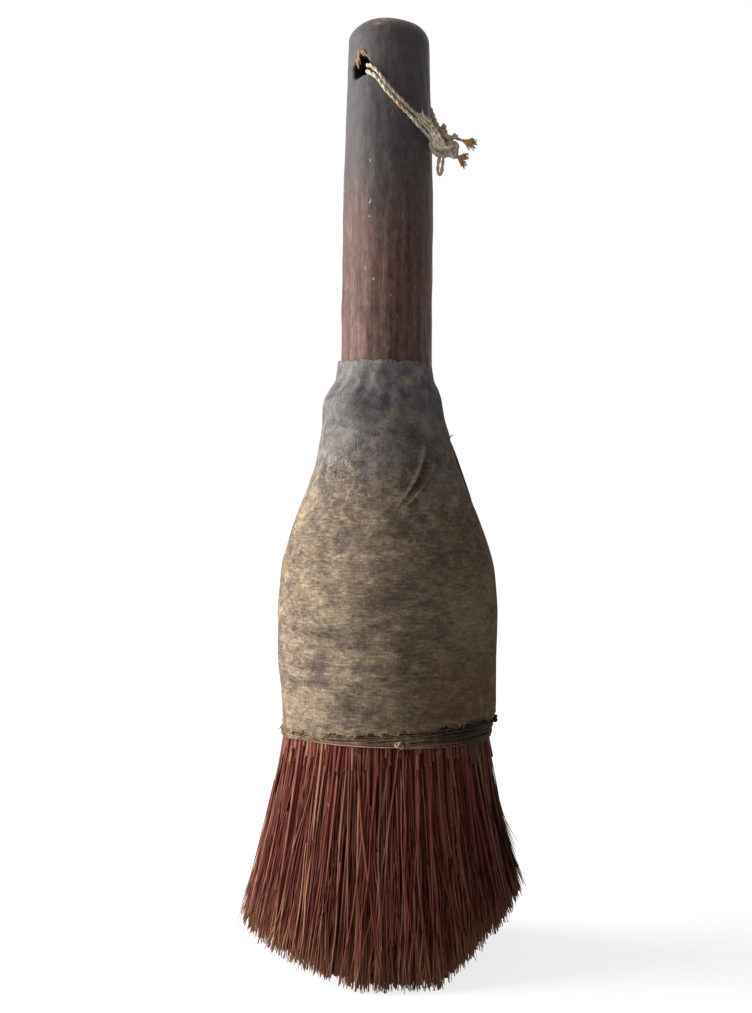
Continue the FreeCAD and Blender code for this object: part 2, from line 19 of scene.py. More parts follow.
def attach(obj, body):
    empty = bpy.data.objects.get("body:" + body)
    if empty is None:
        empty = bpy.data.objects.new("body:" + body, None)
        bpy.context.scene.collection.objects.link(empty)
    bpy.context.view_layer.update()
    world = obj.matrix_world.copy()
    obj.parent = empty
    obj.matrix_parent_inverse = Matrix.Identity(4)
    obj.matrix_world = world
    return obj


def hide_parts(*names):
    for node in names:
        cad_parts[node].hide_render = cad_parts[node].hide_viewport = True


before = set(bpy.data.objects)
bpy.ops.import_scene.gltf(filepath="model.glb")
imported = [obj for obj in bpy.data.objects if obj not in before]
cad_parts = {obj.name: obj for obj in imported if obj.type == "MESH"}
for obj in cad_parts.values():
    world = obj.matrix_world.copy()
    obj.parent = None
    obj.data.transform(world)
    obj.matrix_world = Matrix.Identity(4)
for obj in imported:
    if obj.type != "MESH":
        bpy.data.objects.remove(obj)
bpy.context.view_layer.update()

Array = NDArray[np.float64]
Colour = tuple[float, float, float, float]
Route = tuple[tuple[float, float, float], ...]
Socket = bpy.types.NodeSocket

MM = 0.001
TAU = 2.0 * np.pi
UP = np.array((0.0, 0.0, 1.0))
STEM_LEAN = np.array((0.31, 0.95, 0.0))
log = logging.getLogger("hand_broom")


class Body(Enum):
    """Bodies of the broom that move apart from each other."""

    BROOM = "broom"
    LOOP = "hanging_loop"


class Slot(Enum):
    """Material slots of the broom's record."""

    WOOD = "worn_wood"
    STEMS = "stems"
    CANVAS = "canvas"
    BINDING = "binding"
    TWINE = "twine"


class Coordinates(Enum):
    """Coordinates that a pattern follows."""

    OBJECT = "Object"
    UV = "UV"


def tone(red: float, green: float, blue: float) -> Colour:
    """Linear colour of a display colour written from 0 to 255."""
    share = np.array((red, green, blue)) / 255.0
    linear = np.where(share <= 0.04045, share / 12.92, ((share + 0.055) / 1.055) ** 2.4)
    return (float(linear[0]), float(linear[1]), float(linear[2]), 1.0)


def ease(low: float, high: float, at: Array) -> Array:
    """Smooth step 3 s^2 - 2 s^3, where s runs from 0 at low to 1 at high."""
    share = np.clip((at - low) / (high - low), 0.0, 1.0)
    return share * share * (3.0 - 2.0 * share)


def hump(at: Array, middle: float, reach: float) -> Array:
    """Bell exp(-((x - middle) / reach)^2)."""
    return np.exp(-(((at - middle) / reach) ** 2))


def folded(turn: Array, about: float = 0.0) -> Array:
    """Turns counted from another one, between half a turn back and half a turn on."""
    return (turn - about + np.pi) % TAU - np.pi


def ring_point(radius: Array | float, turn: Array | float, height: Array | float) -> Array:
    """Points (r sin t, -r cos t, z) of a radius, a turn and a height."""
    across, away, up = np.broadcast_arrays(radius * np.sin(turn), -radius * np.cos(turn), height)
    return np.stack((across, away, up), axis=-1)


def unit(vectors: Array) -> Array:
    """Vectors divided by their lengths."""
    return vectors / np.linalg.norm(vectors, axis=-1, keepdims=True)


def smooth_line(places: Sequence[float], values: Sequence[float], at: Array) -> Array:
    """Cubic Hermite curve through pairs of a place and a value.

    The slope at each place is the mean rise over run of its neighbours, and each span is
    h00 v0 + h10 d m0 + h01 v1 + h11 d m1 for a span of length d.

    Args:
        places: Rising places along the line.
        values: Value at each place.
        at: Places to work out.

    Returns:
        The value at each of those places.
    """
    known = np.asarray(places, float)
    level = np.asarray(values, float)
    slope = np.gradient(level, known)
    held = np.clip(at, known[0], known[-1])
    index = np.clip(np.searchsorted(known, held) - 1, 0, len(known) - 2)
    span = known[index + 1] - known[index]
    share = (held - known[index]) / span
    rest = 1.0 - share
    start = (1.0 + 2.0 * share) * rest**2 * level[index] + share * rest**2 * span * slope[index]
    finish = share**2 * (3.0 - 2.0 * share) * level[index + 1]
    finish = finish - share**2 * rest * span * slope[index + 1]
    return start + finish


def trefoil(count: int) -> Array:
    """Trefoil knot (sin t + 2 sin 2t, cos t - 2 cos 2t, -sin 3t), as three rows of a count."""
    t = np.linspace(0.0, TAU, count)
    return np.stack((np.sin(t) + 2.0 * np.sin(2.0 * t), np.cos(t) - 2.0 * np.cos(2.0 * t),
                     -np.sin(3.0 * t)))


@dataclass(frozen=True)
class Ripple:
    """Seeded sum of sine waves over a turn and a height, which closes round a full turn."""

    seed: int
    waves: int
    fewest: int
    most: int
    wavelength: float

    def at(self, turn: Array, height: Array | float = 0.0) -> Array:
        """Sum of sin(n t + k z + p) for seeded n, k and p, over the root of half their number.

        Args:
            turn: Turns.
            height: Heights, which spread with the turns.

        Returns:
            Values that are mostly from -2 to 2.
        """
        draws = np.random.default_rng(self.seed)
        around = draws.integers(self.fewest, self.most + 1, self.waves)
        along = draws.uniform(-1.0, 1.0, self.waves) * TAU / self.wavelength
        phase = draws.uniform(0.0, TAU, self.waves)
        turns, heights = np.broadcast_arrays(turn, height)
        angle = turns[..., None] * around + heights[..., None] * along + phase
        return np.sin(angle).sum(axis=-1) / np.sqrt(self.waves / 2.0)


def mesh_object(name: str, vertices: Array, faces: Sequence[NDArray], uv: Array | None = None,
                marks: dict[str, Array] | None = None) -> bpy.types.Object:
    """Put a worked-out surface into a mesh object at the origin.

    Args:
        name: Name of the object.
        vertices: Points, three numbers each.
        faces: Arrays of corner numbers, one array for each number of corners.
        uv: Pattern coordinates of each face corner, in the order of the faces.
        marks: Named numbers for each point.

    Returns:
        The object, smoothly shaded.
    """
    corners = np.concatenate([group.ravel() for group in faces]).astype(np.int32)
    counts = np.concatenate([np.full(len(group), group.shape[1]) for group in faces])
    mesh = bpy.data.meshes.new(name)
    mesh.vertices.add(len(vertices))
    mesh.vertices.foreach_set("co", vertices.astype(np.float32).ravel())
    mesh.loops.add(len(corners))
    mesh.loops.foreach_set("vertex_index", corners)
    mesh.polygons.add(len(counts))
    mesh.polygons.foreach_set("loop_start", (np.cumsum(counts) - counts).astype(np.int32))
    mesh.polygons.foreach_set("use_smooth", np.ones(len(counts), bool))
    mesh.update(calc_edges=True)
    if uv is not None:
        mesh.uv_layers.new(name="UVMap").data.foreach_set("uv", uv.astype(np.float32).ravel())
    for mark, values in (marks or {}).items():
        layer = mesh.attributes.new(mark, "FLOAT", "POINT")
        layer.data.foreach_set("value", values.astype(np.float32).ravel())
    mesh.validate()
    piece = bpy.data.objects.new(name, mesh)
    bpy.context.scene.collection.objects.link(piece)
    return piece


def grid_faces(rows: int, columns: int, closed: bool) -> NDArray:
    """Quads of a grid of points, which face out where columns turn right and rows rise.

    Args:
        rows: Rows of points.
        columns: Points in a row.
        closed: Whether each row closes round.

    Returns:
        Corner numbers, four to a face.
    """
    index = np.arange(rows * columns).reshape(rows, columns)
    low, high = index[:-1], index[1:]
    quads = np.stack((low, np.roll(low, -1, 1), np.roll(high, -1, 1), high), axis=-1)
    return (quads if closed else quads[:, :-1]).reshape(-1, 4)


def tube_rings(lines: Array, reach: Array, sides: int, lean: Array) -> Array:
    """Rings c + r (cos a n1 + sin a n2) round lines of points.

    n1 is the lean less its part along the line, and n2 is the line's direction crossed with n1.

    Args:
        lines: Points, as lines by points by three.
        reach: Radius at each point, or at each point and side.
        sides: Number of sides of each ring.
        lean: Direction that is never along a line.

    Returns:
        Points, as lines by points by sides by three.
    """
    along = unit(np.gradient(lines, axis=-2))
    first = unit(lean - along * (lean * along).sum(axis=-1, keepdims=True))
    second = np.cross(along, first)
    way = np.linspace(0.0, TAU, sides, endpoint=False)[:, None]
    ring = np.cos(way) * first[..., None, :] + np.sin(way) * second[..., None, :]
    spread = reach[..., None, None] if reach.ndim == 2 else reach[..., None]
    return lines[..., None, :] + spread * ring


def tube_faces(count: int, rings: int, sides: int) -> list[NDArray]:
    """Quads of closed tubes, and their end caps."""
    index = np.arange(count * rings * sides).reshape(count, rings, sides)
    low, high = index[:, :-1], index[:, 1:]
    quads = np.stack((low, np.roll(low, -1, 2), np.roll(high, -1, 2), high), axis=-1).reshape(-1, 4)
    caps = np.concatenate((index[:, 0, ::-1], index[:, -1]))
    return [quads, caps]


def tube_uv(lengths: Array, sides: int) -> Array:
    """Pattern coordinates of tubes' face corners: metres along, and turns round from 0 to 1.

    Args:
        lengths: Length up to each point, as lines by points.
        sides: Number of sides of each ring.

    Returns:
        Corner coordinates in the order of tube_faces, zero on the caps.
    """
    count, rings = lengths.shape
    low = np.broadcast_to(lengths[:, :-1, None], (count, rings - 1, sides))
    high = np.broadcast_to(lengths[:, 1:, None], (count, rings - 1, sides))
    left = np.broadcast_to(np.arange(sides) / sides, low.shape)
    right = left + 1.0 / sides
    along = np.stack((low, low, high, high), axis=-1)
    across = np.stack((left, right, right, left), axis=-1)
    quads = np.stack((along, across), axis=-1).reshape(-1, 2)
    return np.concatenate((quads, np.zeros((2 * count * sides, 2))))


def run_lengths(lines: Array) -> Array:
    """Length along each line up to each of its points."""
    steps = np.linalg.norm(np.diff(lines, axis=-2), axis=-1)
    return np.concatenate((np.zeros_like(steps[..., :1]), np.cumsum(steps, axis=-1)), axis=-1)


def tubes(name: str, lines: Array, reach: Array, sides: int, lean: Array,
          marks: dict[str, Array | float]) -> bpy.types.Object:
    """One object of closed tubes along lines of points.

    Args:
        name: Name of the object.
        lines: Points, as lines by points by three.
        reach: Radius at each line, point, or point and side.
        sides: Number of sides of each ring.
        lean: Direction that is never along a line.
        marks: Named numbers, which spread over the lines' points.

    Returns:
        The object.
    """
    shape = lines.shape[:2]
    wide = np.broadcast_to(reach, shape) if reach.ndim == 2 else reach
    vertices = tube_rings(lines, wide, sides, lean).reshape(-1, 3)
    spread = {mark: np.repeat(np.broadcast_to(values, shape).ravel(), sides)
              for mark, values in marks.items()}
    uv = tube_uv(run_lengths(lines), sides)
    return mesh_object(name, vertices, tube_faces(*shape, sides), uv, spread)


def settle(piece: bpy.types.Object, material: bpy.types.Material, body: Body,
           node: str | None = None) -> bpy.types.Object:
    """Give a piece its finish, its body and the node that it stands for.

    Args:
        piece: The finished piece.
        material: Its finish.
        body: Body that it moves with.
        node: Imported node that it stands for, if it stands for one.

    Returns:
        The piece.
    """
    piece.data.materials.append(material)
    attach(piece, body.value)
    if node:
        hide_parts(node)
    log.info("%s: %d faces", piece.name, len(piece.data.polygons))
    return piece


class Signal:
    """Value that a material's graph works out, with the arithmetic of that graph."""

    def __init__(self, kit: "Finish", socket: Socket) -> None:
        """Hold the graph, and the socket that carries the value."""
        self.kit = kit
        self.socket = socket

    def __add__(self, other: "Signal | float") -> "Signal":
        """Sum of two values."""
        return self.kit.maths("ADD", self, other)

    def __sub__(self, other: "Signal | float") -> "Signal":
        """Difference of two values."""
        return self.kit.maths("SUBTRACT", self, other)

    def __mul__(self, other: "Signal | float") -> "Signal":
        """Product of two values."""
        return self.kit.maths("MULTIPLY", self, other)


Given = Signal | float | Sequence[float]


class Finish:
    """Node graph of one material, with short calls for the nodes that the finishes share."""

    def __init__(self, name: str) -> None:
        """Start a material with its surface shader."""
        self.material = bpy.data.materials.new(name)
        self.material.use_nodes = True
        self.tree = self.material.node_tree
        self.shader = self.tree.nodes["Principled BSDF"]

    def feed(self, target: Socket, value: Given) -> None:
        """Link a value of the graph to a target, or set a plain value on it."""
        if isinstance(value, Signal):
            self.tree.links.new(value.socket, target)
        else:
            target.default_value = value

    def node(self, kind: str, given: dict[int | str, Given], output: int | str = 0,
             **settings: str) -> Signal:
        """Add a node.

        Args:
            kind: Its type, without the prefix that all of them share.
            given: Value of each input, by number or name.
            output: Output to hand over.
            settings: Settings of the node itself.

        Returns:
            The value of that output.
        """
        made = self.tree.nodes.new("ShaderNode" + kind)
        for name, setting in settings.items():
            setattr(made, name, setting)
        for place, value in given.items():
            self.feed(made.inputs[place], value)
        return Signal(self, made.outputs[output])

    def coordinates(self, kind: Coordinates,
                    stretch: Sequence[float] = (1.0, 1.0, 1.0)) -> Signal:
        """Coordinates of the piece, each axis times its stretch."""
        place = self.node("TexCoord", {}, kind.value)
        return self.node("VectorMath", {0: place, 1: stretch}, operation="MULTIPLY")

    def axis(self, vector: Signal, name: str) -> Signal:
        """One axis of a vector, by its letter."""
        return self.node("SeparateXYZ", {0: vector}, name)

    def noise(self, vector: Signal, scale: float, detail: float = 3.0, rough: float = 0.55,
              swirl: float = 0.0) -> Signal:
        """Soft noise from 0 to 1 over a vector."""
        return self.node("TexNoise", {"Vector": vector, "Scale": scale, "Detail": detail,
                                      "Roughness": rough, "Distortion": swirl})

    def streaked(self, kind: Coordinates, stretch: Sequence[float], *settings: float) -> Signal:
        """Soft noise, drawn out along an axis of the piece's coordinates."""
        return self.noise(self.coordinates(kind, stretch), *settings)

    def cells(self, vector: Signal, scale: float) -> Signal:
        """Distance to the nearest edge between cells round scattered points."""
        given = {"Vector": vector, "Scale": scale}
        return self.node("TexVoronoi", given, "Distance", feature="DISTANCE_TO_EDGE")

    def mark(self, name: str) -> Signal:
        """Named number of the piece's points."""
        return self.node("Attribute", {}, "Fac", attribute_name=name)

    def maths(self, operation: str, first: Signal | float, second: Signal | float = 0.0) -> Signal:
        """Result of one arithmetic operation."""
        return self.node("Math", {0: first, 1: second}, operation=operation)

    def between(self, value: Signal, low: float, high: float, start: float = 0.0,
                finish: float = 1.0) -> Signal:
        """Smooth step of a value from start at low to finish at high."""
        given = dict(enumerate((value, low, high, start, finish)))
        return self.node("MapRange", given, interpolation_type="SMOOTHSTEP")

    def ramp(self, value: Signal, *stops: tuple[float, Colour]) -> Signal:
        """Colour of a value along stops of a place and a colour."""
        made = self.tree.nodes.new("ShaderNodeValToRGB")
        elements = made.color_ramp.elements
        while len(elements) < len(stops):
            elements.new(1.0)
        for element, (place, colour) in zip(elements, stops):
            element.position = place
            element.color = colour
        self.feed(made.inputs[0], value)
        return Signal(self, made.outputs[0])

    def mix(self, share: Signal | float, first: Signal | Colour, second: Signal | Colour) -> Signal:
        """Colour between a first and a second one."""
        return self.node("Mix", {0: share, 6: first, 7: second}, 2, data_type="RGBA")

    def shaded(self, colour: Signal, level: Signal) -> Signal:
        """Colour times a level."""
        return self.node("VectorMath", {0: colour, "Scale": level}, operation="SCALE")

    def distance(self, vector: Signal, place: Sequence[float]) -> Signal:
        """Distance of a vector from a place."""
        return self.node("VectorMath", {0: vector, 1: place}, "Value", operation="DISTANCE")

    def near(self, vector: Signal, place: Sequence[float], reach: float) -> Signal:
        """Share from 1 at a place to 0 at a reach from it."""
        return self.between(self.distance(vector, place), 0.0, reach, 1.0, 0.0)

    def relief(self, height: Signal, distance: float) -> None:
        """Bump the surface by a height from 0 to 1 times a distance."""
        bump = self.node("Bump", {"Distance": distance, "Height": height})
        self.feed(self.shader.inputs["Normal"], bump)

    def close(self, colour: Given, roughness: Signal | float, gloss: float) -> bpy.types.Material:
        """Join colour, roughness and gloss to the shader and hand the material over."""
        self.feed(self.shader.inputs["Base Color"], colour)
        self.feed(self.shader.inputs["Roughness"], roughness)
        self.feed(self.shader.inputs["Specular IOR Level"], gloss)
        return self.material


@dataclass(frozen=True)
class WornWood:
    """Dark paint worn through to red-brown wood, with chips, a torn hole with painted shade inside
    it, and a worn top edge.
    """

    paint_dark: Colour = tone(68, 65, 65)
    paint_light: Colour = tone(106, 99, 97)
    wood_dark: Colour = tone(56, 38, 36)
    wood_mid: Colour = tone(114, 86, 79)
    wood_light: Colour = tone(156, 128, 118)
    bare: Colour = tone(174, 140, 104)
    fleck: Colour = tone(190, 184, 178)
    # Near black painted into the hanging hole as its shade.
    dark_tone: Colour = tone(20, 16, 15)
    paint_foot: float = 220 * MM
    paint_top: float = 256 * MM
    paint_ragged: float = 70 * MM
    top_edge: float = 291.6 * MM
    top_ragged: float = 16 * MM
    top: float = 294.8 * MM
    hole_height: float = 277 * MM
    hole_reach: float = 5.6 * MM
    skin_radius: float = 12.35 * MM
    rubbed: tuple[tuple[float, float, float, float], ...] = (
        (-1.0, -7.4, 292.4, 5.0), (-3.4, -9.9, 290.3, 2.4), (7.8, -6.6, 290.6, 3.2),
        (11.5, -3.0, 288.5, 3.6))

    def make(self, mouth: Sequence[float], mouth_reach: float) -> bpy.types.Material:
        """Build the finish.

        Args:
            mouth: Middle of the torn wood above the hanging hole's front mouth.
            mouth_reach: How far the torn wood goes from it.

        Returns:
            The material.
        """
        kit = Finish("worn_painted_wood")
        place = kit.coordinates(Coordinates.OBJECT)
        height = kit.axis(place, "Z")
        grain = kit.streaked(Coordinates.OBJECT, (1.0, 1.0, 0.05), 560.0, 6.0, 0.66)
        streaks = kit.streaked(Coordinates.OBJECT, (1.0, 1.0, 0.06), 460.0, 5.0, 0.6)
        blotch = kit.noise(place, 95.0, 5.0, 0.62)
        mottle = kit.streaked(Coordinates.OBJECT, (1.0, 1.0, 0.55), 620.0, 6.0, 0.72)
        wood = kit.ramp(grain * 0.55 + mottle * 0.45, (0.34, self.wood_dark),
                        (0.52, self.wood_mid), (0.68, self.wood_light))
        paint = kit.ramp(blotch * 0.4 + mottle * 0.6, (0.36, self.paint_dark),
                         (0.68, self.paint_light))
        ragged = (streaks - 0.5) * self.paint_ragged
        cover = kit.between(height + ragged, self.paint_foot, self.paint_top)
        colour = kit.mix(cover, wood, paint)
        colour = kit.mix(kit.between(blotch, 0.5, 0.72, 0.0, 0.45), colour, self.wood_dark)
        chip_field = kit.streaked(Coordinates.OBJECT, (1.0, 1.0, 0.6), 360.0, 4.0, 0.62)
        chips = kit.between(chip_field, 0.715, 0.76)
        colour = kit.mix(chips, colour, self.bare)
        fleck_field = kit.streaked(Coordinates.OBJECT, (1.0, 1.0, 0.45), 800.0, 3.0, 0.6)
        colour = kit.mix(kit.between(fleck_field, 0.68, 0.75, 0.0, 0.7), colour, self.fleck)
        rim = kit.between(height + (mottle - 0.5) * self.top_ragged, self.top_edge, self.top)
        colour = kit.mix(rim * 0.85, colour, self.bare)
        for *spot, reach in self.rubbed:
            patch = kit.near(place, tuple(MM * value for value in spot), reach * MM)
            colour = kit.mix(patch * kit.between(mottle, 0.4, 0.6), colour, self.bare)
        torn = kit.near(place, mouth, mouth_reach) * kit.between(grain, 0.46, 0.6)
        colour = kit.mix(torn, colour, self.bare)
        # Inside the hole, within the skin radius, the wood is painted near black: painted shade in
        # the bore.
        sunk = kit.distance(kit.coordinates(Coordinates.OBJECT, (1.0, 1.0, 0.0)), (0.0, 0.0, 0.0))
        level = kit.distance(kit.coordinates(Coordinates.OBJECT, (0.0, 0.0, 1.0)),
                             (0.0, 0.0, self.hole_height))
        inside = kit.maths("LESS_THAN", sunk, self.skin_radius)
        inside = inside * kit.maths("LESS_THAN", level, self.hole_reach)
        colour = kit.mix(inside, colour, self.dark_tone)
        kit.relief(grain * 0.5 + mottle * 0.6 - chips * 0.4, distance=0.4 * MM)
        return kit.close(colour, roughness=kit.between(mottle, 0.25, 0.8, 0.4, 0.62), gloss=0.1)


@dataclass(frozen=True)
class TornWood:
    """Fresh torn wood, tan with darker fibres."""

    dark: Colour = tone(96, 66, 48)
    tan: Colour = tone(178, 142, 108)

    def make(self) -> bpy.types.Material:
        """Build the finish."""
        kit = Finish("torn_wood")
        fibres = kit.streaked(Coordinates.OBJECT, (1.0, 1.0, 0.12), 1600.0, 4.0, 0.6)
        kit.relief(fibres, distance=0.2 * MM)
        colour = kit.ramp(fibres, (0.3, self.dark), (0.6, self.tan))
        return kit.close(colour, roughness=0.8, gloss=0.2)


@dataclass(frozen=True)
class Canvas:
    """Soiled grey-brown canvas: crossed threads, wear that bares tan, a darker neck, painted shade
    under the lap and in the tuck, and painted fill on the shaded right.
    """

    dark: Colour = tone(84, 74, 66)
    brown: Colour = tone(126, 110, 95)
    tan: Colour = tone(158, 138, 115)
    straw: Colour = tone(200, 178, 144)
    grey: Colour = tone(146, 142, 139)
    dark_tone: Colour = tone(86, 82, 83)
    blue: Colour = tone(78, 74, 74)
    olive: Colour = tone(108, 88, 62)
    rust: Colour = tone(104, 74, 52)
    bare: Colour = tone(186, 164, 128)
    black: Colour = tone(24, 19, 18)
    neck_foot: float = 140 * MM
    neck_top: float = 175 * MM
    neck_ragged: float = 70 * MM
    rust_top: float = 108 * MM
    rust_full: float = 84 * MM
    lit_end: float = 176 * MM
    shade_start: float = 216 * MM

    def make(self) -> bpy.types.Material:
        """Build the finish on the cloth's own coordinates: metres round and metres up."""
        kit = Finish("soiled_canvas")
        flat = kit.coordinates(Coordinates.UV)
        height = kit.axis(flat, "Y")
        side = kit.between(kit.axis(flat, "X"), self.lit_end, self.shade_start)
        streaks = kit.streaked(Coordinates.UV, (0.3, 1.0, 1.0), 1350.0, 4.0, 0.68, 0.3)
        warp = kit.streaked(Coordinates.UV, (1.0, 0.25, 1.0), 2000.0, 2.0, 0.5)
        speck = kit.noise(flat, 2300.0, 3.0, 0.7)
        patch = kit.streaked(Coordinates.UV, (0.6, 1.0, 1.0), 330.0, 4.0, 0.6, 0.5)
        blotch = kit.streaked(Coordinates.UV, (0.6, 1.0, 1.0), 105.0, 4.0, 0.6)
        broad = patch * 0.65 + blotch * 0.35
        # The field drops a little towards the shaded right: painted shade.
        field = streaks * 0.43 + broad * 0.57 - side * 0.02
        colour = kit.ramp(field, (0.39, self.dark), (0.48, self.brown), (0.55, self.tan),
                          (0.64, self.straw))
        stained = kit.between(kit.noise(flat, 140.0, 4.0, 0.6, 0.4), 0.5, 0.72, 0.0, 0.62)
        colour = kit.mix(stained, colour, self.blue)
        # Olive towards the right and rust low on the right, away from the key light: partly the
        # cloth's browner colour, partly painted shade.
        colour = kit.mix(side * 0.3, colour, self.olive)
        low = kit.between(height, self.rust_full, self.rust_top, 0.5, 0.0)
        colour = kit.mix(side * low, colour, self.rust)
        ragged = height + (blotch - 0.5) * self.neck_ragged
        neck = kit.between(ragged, self.neck_foot, self.neck_top, 0.0, 0.95)
        smooth = broad * 0.75 + speck * 0.25
        colour = kit.mix(neck, colour, kit.ramp(smooth, (0.38, self.dark_tone), (0.62, self.grey)))
        # Up to a quarter brighter on the right side and the neck's right, away from the key light:
        # painted fill light.
        lift = kit.between(side, 0.5, 1.0, 1.0, 1.25) + neck * side * 0.25
        colour = kit.shaded(colour, lift)
        rubbed = kit.mark("bared") * kit.between(streaks, 0.34, 0.62, 0.3, 1.0)
        colour = kit.mix(rubbed, colour, self.bare)
        # The grime mark mixes in near black: dirt, and painted shade under the lap at the slit and
        # in the tuck's hollow.
        colour = kit.mix(kit.mark("grime_and_shade"), colour, self.black)
        fine = warp * 0.4 + speck * 0.6
        colour = kit.shaded(colour, kit.between(fine, 0.34, 0.68, 0.7, 1.3))
        flakes = kit.between(kit.cells(flat, 540.0), 0.0, 0.14)
        cracked = kit.mark("cracked")
        colour = kit.mix(cracked, colour,
                         kit.shaded(colour, kit.between(flakes, 0.0, 1.0, 0.72, 1.05)))
        bumps = streaks * 0.5 + fine * 0.5 + patch * 0.5 + flakes * cracked * 0.5
        kit.relief(bumps, distance=0.42 * MM)
        return kit.close(colour, roughness=0.92, gloss=0.12)


@dataclass(frozen=True)
class Stem:
    """Dull red-brown plant stems, each of its own tint, with pale worn tips; the tint and grime
    marks also carry painted shade.
    """

    dark: Colour = tone(44, 12, 6)
    red: Colour = tone(118, 54, 44)
    brown: Colour = tone(155, 103, 87)
    pale: Colour = tone(184, 138, 104)
    # Grey of caked dirt on the stubs, also used as painted shade on the packed core.
    grime_and_shade: Colour = tone(78, 72, 60)

    def make(self, name: str, tip_start: float) -> bpy.types.Material:
        """Build the finish.

        Args:
            name: Name of the material.
            tip_start: Share of a stem's length at which its tip turns pale.

        Returns:
            The material.
        """
        kit = Finish(name)
        tint_and_shade = kit.mark("tint_and_shade")
        along = kit.mark("along")
        patches = kit.streaked(Coordinates.OBJECT, (1.0, 1.0, 0.12), 520.0, 4.0, 0.6)
        shade = tint_and_shade * 0.8 + patches * 0.4
        colour = kit.ramp(shade, (0.18, self.dark), (0.5, self.red), (0.84, self.brown),
                          (1.0, self.pale))
        worn = along + (patches - 0.5) * 0.25
        colour = kit.mix(kit.between(worn, tip_start, 1.08, 0.0, 0.55), colour, self.pale)
        colour = kit.mix(kit.mark("grime_and_shade"), colour, self.grime_and_shade)
        kit.relief(patches, distance=0.12 * MM)
        return kit.close(colour, roughness=0.5, gloss=0.08)


@dataclass(frozen=True)
class Thread:
    """Soiled grey-brown thread of long fibres, paler on its lowest turns, with painted shade
    darkening it at the right.
    """

    dark: Colour = tone(66, 50, 40)
    brown: Colour = tone(128, 104, 84)
    dusty: Colour = tone(176, 152, 124)
    pale: Colour = tone(204, 178, 140)
    black: Colour = tone(26, 18, 13)

    def make(self) -> bpy.types.Material:
        """Build the finish on the thread's own coordinates: metres along and turns round."""
        kit = Finish("waxed_thread")
        fibres = kit.streaked(Coordinates.UV, (0.2, 0.0015, 1.0), 3000.0, 3.0, 0.6)
        soil = kit.noise(kit.coordinates(Coordinates.OBJECT), 260.0, 4.0, 0.65)
        colour = kit.ramp(soil, (0.3, self.dark), (0.52, self.brown), (0.74, self.dusty))
        colour = kit.mix(kit.mark("stain"), colour, self.pale)
        colour = kit.shaded(colour, kit.between(fibres, 0.3, 0.72, 0.62, 1.3))
        # Near black mixed in towards the right, away from the key light: painted shade.
        colour = kit.mix(kit.mark("dark_tone"), colour, self.black)
        kit.relief(fibres, distance=0.12 * MM)
        return kit.close(colour, roughness=0.82, gloss=0.2)


@dataclass(frozen=True)
class Twine:
    """Beige twine of twisted fibres, with brown stains."""

    pale: Colour = tone(250, 240, 222)
    beige: Colour = tone(236, 221, 196)
    dark: Colour = tone(196, 178, 152)
    stain: Colour = tone(214, 134, 62)
    twist: float = 1.1 * MM

    def make(self, name: str = "stained_twine") -> bpy.types.Material:
        """Build the finish on the twine's own coordinates: metres along and turns round."""
        kit = Finish(name)
        flat = kit.coordinates(Coordinates.UV)
        lay = kit.axis(flat, "X") * (TAU / self.twist) + kit.axis(flat, "Y") * (3.0 * TAU)
        fibres = kit.maths("SINE", lay)
        fine = kit.noise(kit.coordinates(Coordinates.OBJECT), 1500.0, 4.0, 0.65)
        soil = kit.noise(kit.coordinates(Coordinates.OBJECT), 330.0, 3.0, 0.6)
        colour = kit.ramp(soil, (0.28, self.dark), (0.48, self.beige), (0.66, self.pale))
        colour = kit.mix(kit.mark("stain"), colour, self.stain)
        lines = fibres * 0.12 + fine
        colour = kit.shaded(colour, kit.between(lines, 0.25, 0.8, 0.74, 1.1))
        kit.relief(fibres * 0.3 + fine, distance=0.12 * MM)
        return kit.close(colour, roughness=0.9, gloss=0.15)


@dataclass(frozen=True)
class DullIron:
    """Dull drawn iron of the hidden wire and nail."""

    dark: Colour = tone(70, 64, 60)
    light: Colour = tone(128, 122, 116)

    def make(self) -> bpy.types.Material:
        """Build the finish."""
        kit = Finish("dull_iron")
        spots = kit.noise(kit.coordinates(Coordinates.OBJECT), 900.0, 4.0, 0.6)
        kit.feed(kit.shader.inputs["Metallic"], 0.85)
        kit.relief(spots, distance=0.1 * MM)
        colour = kit.ramp(spots, (0.3, self.dark), (0.7, self.light))
        return kit.close(colour, roughness=0.55, gloss=0.4)


